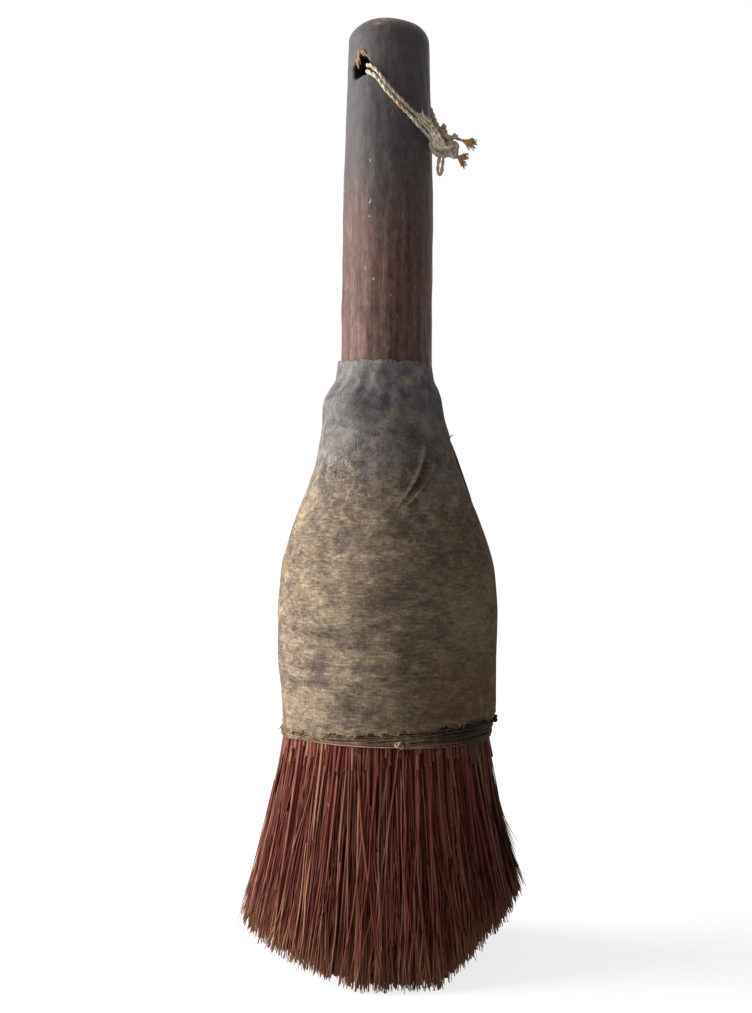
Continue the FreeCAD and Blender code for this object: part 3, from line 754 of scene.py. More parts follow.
@dataclass
class Studio:
    """Pale floor, white surroundings, soft light from the left and the camera in front."""

    camera_place: tuple[float, float, float] = (-3.1 * MM, -591.2 * MM, 162.8 * MM)
    tilt: float = np.radians(2.0)
    roll: float = np.radians(0.34)
    sensor: float = 24.0
    focus: float = 44.64
    clip_start: float = 0.01
    middle: tuple[float, float, float] = (0.0, 0.0, 150 * MM)
    lamps: tuple[tuple[str, tuple[float, float, float], float, float], ...] = (
        ("key", (-1.1, -0.03, 0.48), 1.0, 30.0),
        ("front_fill", (-0.45, -1.25, 0.55), 0.9, 2.6),
        ("right_rim", (0.9, 0.75, 0.35), 0.6, 0.15))
    fill_level: float = 0.13
    floor_reach: float = 6.0
    floor_grey: Colour = (0.4, 0.4, 0.4, 1.0)
    white: Colour = (1.0, 1.0, 1.0, 1.0)
    shadow_reach: float = 1.1
    shadow_level: float = 0.8

    def build(self) -> None:
        """Make the camera, the lamps, the surroundings and the floor."""
        self.camera()
        for lamp in self.lamps:
            self.lamp(*lamp)
        self.surroundings()
        self.floor()
        bpy.context.scene.view_settings.view_transform = "Standard"

    def camera(self) -> None:
        """Place the camera in front, looking a little down and rolled a little."""
        lens = bpy.data.cameras.new("camera")
        lens.sensor_fit = "VERTICAL"
        lens.sensor_height = self.sensor
        lens.lens = self.focus
        lens.clip_start = self.clip_start
        viewer = bpy.data.objects.new("camera", lens)
        facing = Euler((np.pi / 2.0 - self.tilt, 0.0, 0.0)).to_matrix().to_4x4()
        rolled = facing @ Matrix.Rotation(self.roll, 4, "Z")
        viewer.matrix_world = Matrix.Translation(self.camera_place) @ rolled
        bpy.context.scene.collection.objects.link(viewer)
        bpy.context.scene.camera = viewer

    def lamp(self, name: str, place: tuple[float, float, float], width: float,
             watts: float) -> None:
        """Hang one soft square lamp that faces the broom.

        Args:
            name: Name of the lamp.
            place: Where it hangs.
            width: Side of its square.
            watts: Its power.
        """
        light = bpy.data.lights.new(name, "AREA")
        light.size = width
        light.energy = watts
        hung = bpy.data.objects.new(name, light)
        away = Vector(place) - Vector(self.middle)
        facing = away.to_track_quat("Z", "Y").to_matrix().to_4x4()
        hung.matrix_world = Matrix.Translation(place) @ facing
        bpy.context.scene.collection.objects.link(hung)

    def seen(self, tree: bpy.types.NodeTree) -> Socket:
        """Share that is 1 for rays that show a thing itself, and 0 for light on the object."""
        path = tree.nodes.new("ShaderNodeLightPath")
        total = path.outputs["Is Camera Ray"]
        for name in ("Is Glossy Ray", "Is Transmission Ray"):
            most = tree.nodes.new("ShaderNodeMath")
            most.operation = "MAXIMUM"
            tree.links.new(total, most.inputs[0])
            tree.links.new(path.outputs[name], most.inputs[1])
            total = most.outputs[0]
        return total

    def surroundings(self) -> None:
        """White where they are seen, and a weak even fill for the light on the object."""
        world = bpy.data.worlds.new("surroundings")
        bpy.context.scene.world = world
        world.use_nodes = True
        tree = world.node_tree
        level = tree.nodes.new("ShaderNodeMapRange")
        level.inputs["To Min"].default_value = self.fill_level
        tree.links.new(self.seen(tree), level.inputs["Value"])
        sky = tree.nodes["Background"]
        sky.inputs["Color"].default_value = self.white
        tree.links.new(level.outputs[0], sky.inputs["Strength"])

    def floor(self) -> None:
        """Pale floor that the eye sees as white, with a soft shadow."""
        reach = self.floor_reach
        corners = np.array(((-1.0, -1.0, 0.0), (1.0, -1.0, 0.0), (1.0, 1.0, 0.0), (-1.0, 1.0, 0.0)))
        ground = mesh_object("floor", reach * corners, [np.array([[0, 1, 2, 3]])])
        pale = Finish("pale_floor")
        pale.feed(pale.shader.inputs["Emission Color"], self.white)
        place = pale.coordinates(Coordinates.OBJECT)
        shaded = pale.near(place, (0.0, 0.0, 0.0), self.shadow_reach)
        light = pale.between(shaded, 0.0, 1.0, 1.0, self.shadow_level)
        glow = Signal(pale, self.seen(pale.tree)) * light
        pale.feed(pale.shader.inputs["Emission Strength"], glow)
        ground.data.materials.append(pale.close(self.floor_grey, 0.9, 0.0))


@dataclass
class Handle:
    """Turned handle with a domed top and a torn hanging hole right through it."""

    columns: int = 144
    window: int = 8
    hole_turn: float = np.radians(-43.0)
    hole_height: float = 277 * MM
    window_half: float = 5 * MM
    hole_radius: float = 2.6 * MM
    tail_foot: float = 99.4 * MM
    tail_radius: float = 9 * MM
    neck_foot: float = 165 * MM
    grip_radius: float = 14 * MM
    taper_foot: float = 240 * MM
    top: float = 294 * MM
    top_radius: float = 12.4 * MM
    dome_rise: float = 8 * MM
    dome_rings: int = 22
    crown_sink: float = 0.1 * MM
    mouth_rings: int = 7
    mouth_sink: float = 0.3 * MM
    tunnel_rings: int = 14
    tunnel_depth: float = 0.78
    torn_rise: float = 2.4 * MM
    torn_reach: float = 4.6 * MM
    waver: Ripple = Ripple(11, 14, 1, 5, 60 * MM)
    waver_depth: float = 0.12 * MM
    dents: Ripple = Ripple(12, 60, 4, 22, 12 * MM)
    dent_depth: float = 0.045 * MM
    mouth_tears: tuple[tuple[float, float, float], ...] = (
        (2.0, 88.0, 0.16), (1.6, 232.0, 0.5), (0.9, 180.0, 0.5), (1.8, 0.0, 0.5),
        (1.8, 360.0, 0.5), (0.5, 322.0, 0.45), (1.35, 52.0, 0.5))
    splinter_roots: tuple[tuple[float, float, float], ...] = (
        (-2.4, 2.4, -0.4), (-1.5, 2.9, -0.2), (-0.7, 3.2, -0.1), (0.9, 5.0, -0.15),
        (0.2, 5.2, -0.1))
    splinter_tips: tuple[tuple[float, float, float], ...] = (
        (-2.2, 0.5, -1.2), (-1.3, -0.1, -0.7), (-0.5, 1.1, -0.9), (3.3, 2.9, -0.3),
        (0.6, 3.6, -0.6))
    splinter_widths: tuple[float, ...] = (0.6, 0.9, 0.5, 0.9, 0.5)
    splinter_taper: float = 0.82
    splinter_section: tuple[float, ...] = (1.0, 0.6, 0.35, 0.6, 1.0, 0.6, 0.35, 0.6)

    def radius_at(self, height: Array | float) -> Array:
        """Radius of the grip at a height on its taper."""
        return np.interp(height, (self.taper_foot, self.top), (self.grip_radius, self.top_radius))

    def outline(self) -> tuple[Array, Array, int]:
        """Turned outline from the tail up to an elliptic dome.

        Returns:
            Its radii, its heights and the first row of the hole's window.
        """
        low = self.hole_height - self.window_half
        high = self.hole_height + self.window_half
        round_foot = self.top - self.dome_rise
        tail = np.linspace(self.tail_foot, self.neck_foot, 8)
        grip = np.linspace(self.neck_foot, low, 76)[1:]
        across = np.linspace(low, high, 2 * self.window + 1)[1:]
        upper = np.linspace(high, round_foot, 7)[1:]
        heights = np.concatenate((tail, grip, across, upper))
        places = (self.tail_foot, self.neck_foot, self.taper_foot, self.top)
        sizes = (self.tail_radius, self.grip_radius, self.grip_radius, self.top_radius)
        radii = np.interp(heights, places, sizes)
        way = np.linspace(0.0, np.pi / 2.0, self.dome_rings)[1:-1]
        radii = np.concatenate((radii, radii[-1] * np.cos(way)))
        heights = np.concatenate((heights, round_foot + self.dome_rise * np.sin(way)))
        return radii, heights, len(tail) + len(grip) - 1

    def worn(self, radii: Array, turns: Array, heights: Array) -> Array:
        """Points of a worn handle: r plus a waver and dents, and a dome that leans to the left.

        Args:
            radii: Radii of the turned outline.
            turns: Turns of the points.
            heights: Heights of the outline.

        Returns:
            The points.
        """
        full = radii / self.grip_radius
        shape = self.waver_depth * self.waver.at(turns, heights)
        shape = shape + self.dent_depth * self.dents.at(turns, heights)
        crown = ease(self.top - 3.0 * MM, self.top, heights)
        lean = crown * (0.045 * radii * -np.sin(turns) - self.crown_sink)
        return ring_point(radii + shape * full, turns, heights + lean)

    def mouth_edge(self, way: Array) -> Array:
        """Radius of the torn mouth round its middle: a slit on top, and corners torn out."""
        torn = sum(deep * hump(way, np.radians(middle), reach)
                   for deep, middle, reach in self.mouth_tears)
        return self.hole_radius + MM * (torn + 0.1 * np.sin(7.0 * way))

    def build(self, wood: WornWood, torn: TornWood) -> None:
        """Make the handle and the splinters of its hole.

        Args:
            wood: Finish of the handle.
            torn: Finish of the splinters.
        """
        radii, heights, first_row = self.outline()
        rows, columns, half = len(radii), self.columns, self.window
        turns = self.hole_turn + TAU * np.arange(columns) / columns
        body = self.worn(radii[:, None], turns[None, :], heights[:, None]).reshape(-1, 3)
        index = np.arange(rows * columns).reshape(rows, columns)
        kept = np.ones((rows - 1, columns), bool)
        blocks, faces, mouths, total = [body], [], [], len(body)
        side = 2 * half
        span = np.arange(side)
        last_row = first_row + side
        for middle in (0, columns // 2):
            left, right = (middle - half) % columns, (middle + half) % columns
            along, back = (middle - half + span) % columns, (middle + half - span) % columns
            kept[first_row:last_row, along] = False
            loop = np.concatenate((index[first_row, along], index[first_row + span, right],
                                   index[last_row, back], index[last_row - span, left]))
            rings = self.mouth(self.hole_turn + TAU * middle / columns, loop, body)
            count = rings.shape[0] * rings.shape[1]
            fresh = total + np.arange(count).reshape(-1, 4 * side)
            numbers = np.concatenate((loop[None], fresh))
            total += count
            blocks.append(rings.reshape(-1, 3))
            faces.append(numbers.ravel()[grid_faces(len(numbers), 4 * side, True)])
            mouths.append(numbers[-1])
        tunnel, bore = self.tunnel(mouths, total, np.concatenate(blocks), side)
        total += len(tunnel)
        poles = np.array(((0.0, 0.0, self.tail_foot), (0.0, 0.0, self.top - self.crown_sink)))
        ring = np.arange(columns)
        after = np.roll(ring, -1)
        foot = np.stack((after, ring, np.full(columns, total)), axis=-1)
        crown = np.stack((index[-1], index[-1, after], np.full(columns, total + 1)), axis=-1)
        skin = grid_faces(rows, columns, True).reshape(rows - 1, columns, 4)[kept]
        quads = np.concatenate([skin, *faces, bore])
        points = np.concatenate([*blocks, tunnel, poles])
        piece = mesh_object("turned_handle", points, [quads, np.concatenate((foot, crown))])
        radius = self.radius_at(self.hole_height)
        mouth = ring_point(radius, self.hole_turn, self.hole_height) + self.torn_rise * UP
        material = wood.make(tuple(mouth), self.torn_reach)
        settle(piece, material, Body.BROOM, "handle")
        settle(self.splinters(), torn.make(), Body.BROOM)

    def mouth(self, turn: float, loop: NDArray, body: Array) -> Array:
        """Rings of one mouth, from the window's edge in to the torn edge.

        Each point keeps its direction from the mouth's middle while its distance goes evenly from
        the window's edge to the torn edge, and the last ring is sunk a little.

        Args:
            turn: Turn of the mouth's middle.
            loop: Numbers of the points round the window.
            body: Points of the handle.

        Returns:
            Points, as rings by points round by three.
        """
        radius = self.radius_at(self.hole_height)
        edge = body[loop]
        p = folded(np.arctan2(edge[:, 0], -edge[:, 1]), turn) * radius
        q = edge[:, 2] - self.hole_height
        way = np.arctan2(q, p) % TAU
        far = np.hypot(p, q)
        share = np.linspace(0.0, 1.0, self.mouth_rings + 1)[1:, None]
        reach = far + (self.mouth_edge(way) - far) * share
        heights = self.hole_height + reach * np.sin(way)
        round_radius = self.radius_at(heights) - self.mouth_sink * ease(0.7, 1.0, share)
        return self.worn(round_radius, turn + reach * np.cos(way) / radius, heights)

    def tunnel(self, mouths: list[NDArray], start: int, points: Array,
               side: int) -> tuple[Array, NDArray]:
        """Round bore between the two mouths, and its faces.

        The far mouth is met mirrored: its point i is the near mouth's point 5 n - i, for a window
        of n cells a side.

        Args:
            mouths: Numbers of the points of the two torn edges.
            start: Number of the first new point.
            points: All points so far.
            side: Cells along a side of the window.

        Returns:
            The new points and the faces.
        """
        out = ring_point(1.0, self.hole_turn, 0.0)
        sideways = np.cross(UP, out)
        centre = np.array((0.0, 0.0, self.hole_height))
        near = points[mouths[0]] - centre
        way = np.arctan2(near @ UP, near @ sideways)[:, None]
        deep = self.tunnel_depth * self.radius_at(self.hole_height)
        depth = np.linspace(deep, -deep, self.tunnel_rings)[:, None, None]
        rim = self.hole_radius * (np.cos(way) * sideways + np.sin(way) * UP)
        rings = centre + depth * out + rim
        count = 4 * side
        mirrored = mouths[1][(5 * side - np.arange(count)) % count]
        middle = start + np.arange(self.tunnel_rings * count).reshape(-1, count)
        numbers = np.concatenate((mouths[0][None], middle, mirrored[None]))
        return rings.reshape(-1, 3), numbers.ravel()[grid_faces(len(numbers), count, True)]

    def splinters(self) -> bpy.types.Object:
        """Torn slivers of wood at the hole's upper edge: flat tapered tubes from root to tip."""
        radius = self.radius_at(self.hole_height)
        roots, tips = np.array(self.splinter_roots), np.array(self.splinter_tips)
        share = np.linspace(0.0, 1.0, 6)[None, :, None]
        path = (roots[:, None] * (1.0 - share) + tips[:, None] * share) * MM
        across, up, out = path[..., 0], path[..., 1], path[..., 2]
        lines = ring_point(radius + out, self.hole_turn + across / radius, self.hole_height + up)
        wide = np.array(self.splinter_widths)[:, None, None] * MM
        reach = wide * (1.0 - self.splinter_taper * share) * np.array(self.splinter_section)
        lean = np.cross(UP, ring_point(1.0, self.hole_turn, 0.0))
        return tubes("hole_splinters", lines, reach, len(self.splinter_section), lean, {})


@dataclass(frozen=True)
class Foot:
    """Worn foot of the brush: level in the middle, with a slope up to either side."""

    flare_radius: float = 44 * MM
    left_start: float = 7 * MM
    left_rise: float = 10.8 * MM
    right_start: float = 17 * MM
    right_rise: float = 21.7 * MM
    least: float = 0.3 * MM

    def height(self, radius: Array, turn: Array) -> Array:
        """Height h (|x| - s) / (f - s) beyond each slope's start s, at the sideways x = r sin t."""
        x = radius * np.sin(turn)
        slopes = ((-x, self.left_start, self.left_rise), (x, self.right_start, self.right_rise))
        return sum(rise * np.maximum(far - start, 0.0) / (self.flare_radius - start)
                   for far, start, rise in slopes)


@dataclass
class StemRing:
    """One ring of stems that fan out below the binding."""

    name: str
    node: str | None
    count: int
    root_radius: float
    tip_radii: tuple[float, float]
    thick: tuple[float, float]
    seed: int
    starts: tuple[float, float] = (0.0, 0.0)
    wear: float = 1.0 * MM
    most_wear: float = 14 * MM
    root_height: float = 76 * MM
    root_spread: float = 0.28 * MM
    root_lean: float = 0.6 * MM
    bow_middle: float = -0.1 * MM
    bow_spread: float = 0.35 * MM
    right_sag: float = 0.9 * MM
    right_press: float = 0.022
    sway: float = 1.9 * MM
    stray: float = 6.5 * MM
    stray_share: float = 0.3
    wave: float = 0.55 * MM
    most_wave: float = 2.8
    flyaway: float = 0.2 * MM
    most_flyaway: float = 1.5 * MM
    rings: int = 12
    sides: int = 5
    clumps: Ripple = Ripple(21, 10, 9, 34, 1.0)
    clump_drift: float = 1.1 * MM
    clump_reach: float = 0.5 * MM
    tufts: Ripple = Ripple(22, 12, 15, 46, 1.0)
    tuft_rise: float = 0.75 * MM

    def build(self, foot: Foot, material: bpy.types.Material) -> None:
        """Make the ring.

        A stem's height goes evenly from the binding to its tip on the worn foot, and its radius by
        t^1.15 with a slight bow b sin(pi t) and a tip astray by a t^5. Its sideways offset is a
        sway s t^1.4 and a wave w t sin(2 pi (f t + p)), and its end is pointed.

        Args:
            foot: Where the tips end.
            material: Finish of the stems.
        """
        draws = np.random.default_rng(self.seed)
        each = (self.count, 1)
        number = np.arange(self.count)[:, None]
        turn = TAU * (number + draws.uniform(-0.42, 0.42, each)) / self.count
        side = np.sin(turn)
        right = np.maximum(side, 0.0)
        tip_radius = draws.uniform(*self.tip_radii, each) * (1.0 - self.right_press * right)
        tip_radius = tip_radius + self.clump_reach * self.clumps.at(turn + 0.7)
        leaves = draws.random(each) < self.stray_share
        stray = np.where(leaves, draws.normal(0.0, self.stray, each), 0.0)
        drift = self.clump_drift * self.clumps.at(turn) + draws.normal(0.0, self.sway, each) + stray
        worn = np.clip(draws.gamma(1.5, self.wear, each), foot.least, self.most_wear)
        ground = foot.height(tip_radius, turn + drift / tip_radius)
        tip_height = ground + worn + self.tuft_rise * np.maximum(self.tufts.at(turn), 0.0)
        cut = (self.root_height - tip_height) / (self.root_height - ground)
        tip_radius = self.root_radius + (tip_radius - self.root_radius) * cut
        first = draws.uniform(*self.starts, each)
        share = first + (1.0 - first) * np.linspace(0.0, 1.0, self.rings)
        root = self.root_radius + draws.normal(0.0, self.root_spread, each) + self.root_lean * side
        bow = draws.normal(self.bow_middle, self.bow_spread, each) - self.right_sag * right**4
        loose = np.random.default_rng(self.seed + 100).gamma(0.5, self.flyaway, each)
        loose = np.minimum(loose * (0.6 + 1.6 * side**2), self.most_flyaway)
        radius = root + (tip_radius - root) * share**1.15 + bow * np.sin(np.pi * share)
        radius = radius + loose * share**5
        height = self.root_height + (tip_height - self.root_height) * share
        wave = self.wave * np.clip(draws.standard_t(3, each), -self.most_wave, self.most_wave)
        phase = draws.uniform(0.0, 1.0, each) + draws.uniform(0.7, 3.0, each) * share
        offset = drift * share**1.4 + wave * share * np.sin(TAU * phase)
        lines = ring_point(radius, turn + offset / radius, height)
        thick = draws.uniform(*self.thick, each)
        reach = 0.5 * thick * (1.0 - 0.3 * share) * (1.0 - 0.5 * share**10)
        # Lower towards the right side and higher at the left tips: painted shade and painted light
        # from the key light's side.
        tint_and_shade = np.clip(draws.normal(0.43, 0.28, each), 0.0, 1.0) - 0.18 * side * share**3
        tint_and_shade = tint_and_shade - 0.42 * np.maximum(side - 0.45, 0.0)
        marks = {"tint_and_shade": tint_and_shade, "along": share, "grime_and_shade": 0.0}
        piece = tubes(self.name, lines, reach, self.sides, STEM_LEAN, marks)
        settle(piece, material, Body.BROOM, self.node)


@dataclass
class StemHead:
    """Flared head: rings of long stems, fine fibres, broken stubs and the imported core."""

    foot: Foot = Foot()
    rings: tuple[StemRing, ...] = (
        StemRing("outer_ring_stems", "outer_stems", 310, 31.0 * MM, (43.1 * MM, 44.4 * MM),
                 (0.5 * MM, 1.1 * MM), 31),
        StemRing("middle_ring_stems", "middle_stems", 320, 30.2 * MM, (40.6 * MM, 43.0 * MM),
                 (0.6 * MM, 1.15 * MM), 32, wear=0.7 * MM),
        StemRing("inner_ring_stems", "inner_stems", 320, 29.2 * MM, (37.3 * MM, 40.8 * MM),
                 (0.7 * MM, 1.25 * MM), 33, wear=0.5 * MM),
        StemRing("fine_fibres", None, 800, 31.0 * MM, (41.6 * MM, 45.2 * MM),
                 (0.25 * MM, 0.5 * MM), 34, starts=(0.1, 0.6), wear=4.0 * MM, sway=2.6 * MM,
                 stray=4 * MM, flyaway=0.55 * MM, rings=10, sides=4),
        StemRing("foot_fibres", None, 900, 29.6 * MM, (38.0 * MM, 43.6 * MM),
                 (0.5 * MM, 0.9 * MM), 35, starts=(0.6, 0.85), wear=0.45 * MM, rings=5, sides=4))
    long_tips: float = 0.83
    stub_tips: float = 0.92
    core_end_tips: float = 0.9
    stub_count: int = 190
    stub_seed: int = 41
    stub_root: float = 31.75 * MM
    stub_lean: float = 0.7 * MM
    stub_top: float = 76 * MM
    stub_slope: float = 0.17
    stub_held: float = 5.5 * MM
    caked: tuple[tuple[float, float], ...] = ((38.6, 0.11), (56.0, 0.07))
    core_columns: int = 180
    core_tips: int = 3400
    core_seed: int = 51
    core_foot: float = 4 * MM
    core_waist: float = 27.6 * MM
    core_edge: float = 35.0 * MM
    core_top: float = 95 * MM
    core_pole: float = 0.5 * MM
    groove: float = 0.35 * MM

    def build(self, finish: Stem) -> None:
        """Make every piece of the head."""
        long_stems = finish.make("red_brown_stems", self.long_tips)
        for ring in self.rings:
            ring.build(self.foot, long_stems)
        self.stubs(finish.make("broken_stems", self.stub_tips))
        packed = finish.make("packed_stems", self.core_end_tips)
        self.core(packed)
        self.core_ends(packed)

    def stubs(self, material: bpy.types.Material) -> None:
        """Short broken stems just below the binding: straight, blunt and of uneven length.

        Args:
            material: Finish of the stubs.
        """
        draws = np.random.default_rng(self.stub_seed)
        each = (self.stub_count, 1)
        number = np.arange(self.stub_count)[:, None]
        turn = TAU * (number + draws.uniform(-0.4, 0.4, each)) / self.stub_count
        side = np.sin(turn)
        share = np.linspace(0.0, 1.0, 5)
        down = draws.uniform(6.2, 13.0, each) * MM * share
        lift = draws.uniform(0.0, 0.05, each)
        free = np.maximum(down - self.stub_held, 0.0)
        root = self.stub_root + draws.normal(0.0, 0.12 * MM, each) + self.stub_lean * side
        radius = root + (self.stub_slope + lift) * free
        drift = draws.normal(0.0, 0.05, each) * free
        lines = ring_point(radius, turn + drift / radius, self.stub_top - down)
        reach = draws.uniform(0.26, 0.52, each) * MM
        # Lower towards the right side, away from the key light: painted shade.
        tint_and_shade = np.clip(draws.normal(0.46, 0.22, each), 0.05, 1.0) - 0.2 * side
        caked = np.max([hump(turn, np.radians(middle), far) for middle, far in self.caked], axis=0)
        marks = {"tint_and_shade": tint_and_shade, "along": share, "grime_and_shade": caked * draws.uniform(0.6, 1.0, each)}
        piece = tubes("broken_stubs", lines, reach, 7, STEM_LEAN, marks)
        settle(piece, material, Body.BROOM, "stub_stems")

    def core(self, material: bpy.types.Material) -> None:
        """Packed core: a grooved body turned about the axis, above the worn foot.

        Args:
            material: Finish of the core.
        """
        columns = self.core_columns
        turns = TAU * np.arange(columns)[None, :] / columns
        share = np.linspace(0.0, 1.0, 5)
        low = self.core_edge + (self.core_waist - self.core_edge) * share
        bottom = np.linspace(self.core_pole, self.core_edge, 8)
        radii = np.concatenate((bottom, low[1:], (self.core_waist, self.core_pole)))[:, None]
        grooves = self.groove * np.sin(90.0 * turns) * (radii > 1 * MM)
        rise = np.concatenate((np.zeros(8), share[1:], (1.0, 1.0)))[:, None]
        foot = self.core_foot + self.foot.height(radii, turns)
        heights = foot + (self.stub_top - foot) * rise
        heights[-2:] = self.core_top
        points = ring_point(radii + grooves, turns, heights).reshape(-1, 3)
        rows = len(radii)
        ring = np.arange(columns)
        faces = [grid_faces(rows, columns, True),
                 np.stack((ring[::-1], ring + (rows - 1) * columns))]
        # A fixed dark tint and a grey grime share: painted shade of the packed inside, partly grime.
        level = np.ones(rows * columns)
        marks = {"tint_and_shade": 0.1 * level, "along": 0.0 * level, "grime_and_shade": 0.2 * level}
        piece = mesh_object("packed_core", points, faces, None, marks)
        settle(piece, material, Body.BROOM, "core_bundle")

    def core_ends(self, material: bpy.types.Material) -> None:
        """Ends of the core's stems on a sunflower spiral under it.

        End i lies at radius R sqrt((i + 0.5) / n) and at i times the golden angle.

        Args:
            material: Finish of the core.
        """
        draws = np.random.default_rng(self.core_seed)
        each = (self.core_tips, 1)
        number = np.arange(self.core_tips)[:, None]
        spread = (self.core_edge - 0.6 * MM) * np.sqrt((number + 0.5) / self.core_tips)
        turn = number * np.pi * (3.0 - np.sqrt(5.0)) + draws.normal(0.0, 0.02, each)
        foot = self.foot.height(spread, turn)
        worn = np.clip(draws.gamma(1.6, 0.4 * MM, each), self.foot.least, 3.6 * MM)
        share = np.linspace(0.0, 1.0, 3)
        root = foot + self.core_foot + 1.0 * MM
        height = root + (foot + worn - root) * share
        lines = ring_point(spread * (1.0 + 0.03 * share), turn, height)
        reach = draws.uniform(0.42, 0.6, each) * MM
        tint_and_shade = np.clip(draws.normal(0.42, 0.2, each), 0.0, 1.0)
        # The grey grime share on the ends is painted shade between the tips, partly grime.
        marks = {"tint_and_shade": tint_and_shade, "along": 0.6 + 0.4 * share, "grime_and_shade": 0.35}
        piece = tubes("packed_stem_ends", lines, reach, 5, np.array((1.0, 0.0, 0.0)), marks)
        settle(piece, material, Body.BROOM)


@dataclass
class Sleeve:
    """Canvas sheet wrapped round the bundle and lapped at the right, with tucks and frayed edges.

    Spots and tucks are written with turns in degrees and lengths in millimetres.
    """

    columns: int = 310
    rows: int = 150
    thick: float = 0.6 * MM
    under_edge: float = np.radians(50.0)
    flat_radius: float = 30 * MM
    spot_radius: float = 25 * MM
    hem_height: float = 75.6 * MM
    hem_slant: float = 2.4 * MM
    top_height: float = 187.4 * MM
    top_dip: float = 1.7 * MM
    slit_height: float = 153 * MM
    slit_reach: float = 12 * MM
    mean_radius: float = 31 * MM
    lap_width: float = 28 * MM
    turned_in: float = 16 * MM
    area_share: float = 0.88
    heights: tuple[float, ...] = (
        70, 76, 80.3, 93, 105, 112, 118, 124.4, 130.7, 137, 143.3, 149.6, 155.9, 162.2, 168.5,
        172.5, 176, 178.6, 181, 184, 188)
    radii: tuple[float, ...] = (
        33.6, 33.65, 33.8, 34.25, 34.5, 34.5, 34.0, 33.05, 31.2, 29.0, 26.7, 24.4, 22.3, 20.6,
        19.15, 18.75, 18.1, 16.95, 15.55, 15.2, 14.85)
    edge_heights: tuple[float, ...] = (70.0, 100.0, 130.0, 146.0, 155.0, 163.0, 168.0, 188.0)
    edge_turns: tuple[float, ...] = (104.0, 102.0, 95.0, 77.0, 71.5, 72.0, 79.0, 86.0)
    tucks: tuple[tuple[tuple[float, float], tuple[float, float], float, float, float], ...] = (
        ((43.0, 162.0), (9.5, 143.0), 0.9, 0.9, 1.65),
        ((-20.0, 150.0), (-10.0, 144.0), 0.12, 0.15, 0.8),
        ((22.0, 183.5), (58.0, 177.0), 0.3, 0.35, 0.9))
    wobble: Ripple = Ripple(61, 16, 1, 5, 40 * MM)
    wobble_depth: float = 0.2 * MM
    crumple: Ripple = Ripple(62, 60, 5, 26, 11 * MM)
    crumple_depth: float = 0.075 * MM
    ragged: Ripple = Ripple(63, 70, 14, 150, 1.0)
    tatter: Ripple = Ripple(64, 24, 3, 22, 1.0)
    fringe_count: int = 900
    fringe_low: int = 760
    fringe_seed: int = 71
    # The first four spots follow the hollow of the front tuck and are painted shade; the others
    # darken the cloth in patches.
    dirt_and_shade_spots: tuple[tuple[float, float, float, float, float], ...] = (
        (42.0, 157.5, 3.2, 4.0, 0.62), (31.0, 154.5, 2.2, 3.0, 0.5), (24.5, 151.0, 1.8, 3.0, 0.42),
        (19.0, 148.0, 1.3, 2.5, 0.32), (-28.0, 174.0, 4.0, 7.0, 0.3), (62.0, 172.0, 5.0, 7.0, 0.4),
        (70.0, 131.0, 6.0, 12.0, 0.25), (-5.0, 184.5, 3.0, 2.2, 0.3), (26.0, 184.5, 3.0, 1.6, 0.4),
        (37.0, 174.5, 4.0, 4.0, 0.45), (-15.0, 175.0, 8.0, 8.0, 0.45), (12.0, 167.0, 2.0, 2.5, 0.4),
        (34.0, 163.0, 6.0, 3.0, 0.4), (18.0, 158.5, 5.0, 3.5, 0.35), (-33.0, 105.0, 4.5, 1.6, 0.4),
        (-5.0, 115.5, 4.5, 2.6, 0.3), (-12.0, 105.5, 3.5, 2.0, 0.35), (13.5, 101.0, 4.0, 3.0, 0.3),
        (-2.0, 135.0, 4.5, 3.5, 0.3), (-8.0, 152.0, 9.0, 8.0, 0.18), (-19.0, 81.5, 7.0, 4.0, 0.35))
    bared: tuple[tuple[float, float, float, float, float], ...] = (
        (25.0, 181.2, 3.2, 1.3, 0.8), (7.5, 171.0, 2.0, 1.8, 0.7), (24.0, 169.5, 2.4, 2.2, 0.6),
        (-21.0, 117.5, 1.9, 9.0, 0.5), (-48.0, 83.0, 6.0, 4.0, 0.4), (-62.0, 140.0, 5.0, 6.0, 0.3),
        (50.0, 109.5, 5.5, 8.0, 0.55), (-46.0, 117.0, 4.0, 9.0, 0.35), (4.0, 82.0, 2.0, 4.0, 0.35),
        (16.5, 84.0, 3.0, 2.0, 0.35))

    def spots(self, turn: Array, height: Array,
              places: Sequence[tuple[float, float, float, float, float]]) -> Array:
        """Sum of soft spots on the outer cloth: level times a bell across and a bell up.

        Args:
            turn: Turns of the cloth's points.
            height: Their heights.
            places: For each spot its turn, height, reach across, reach up and level.

        Returns:
            The level at each point.
        """
        total = np.zeros(np.broadcast(turn, height).shape)
        for middle, level, across, up, most in places:
            off = (folded(turn) - np.radians(middle)) * self.spot_radius
            total = total + most * hump(off, 0.0, across * MM) * hump(height, level * MM, up * MM)
        return total * (turn > np.radians(150.0))

    def hem(self, turn: Array) -> Array:
        """Height of the hem: slanted up to the right, tattered and frayed."""
        level = self.hem_height + self.hem_slant * np.sin(turn)
        return level + 0.42 * MM * self.tatter.at(turn) + 0.2 * MM * self.ragged.at(turn)

    def top(self, turn: Array) -> Array:
        """Height of the top edge: lower at the right, with small waves and frays."""
        level = self.top_height - self.top_dip * hump(folded(turn, np.radians(75.0)), 0.0, 0.45)
        return level + 0.22 * MM * self.tatter.at(turn + 1.0) + 0.07 * MM * self.ragged.at(turn)

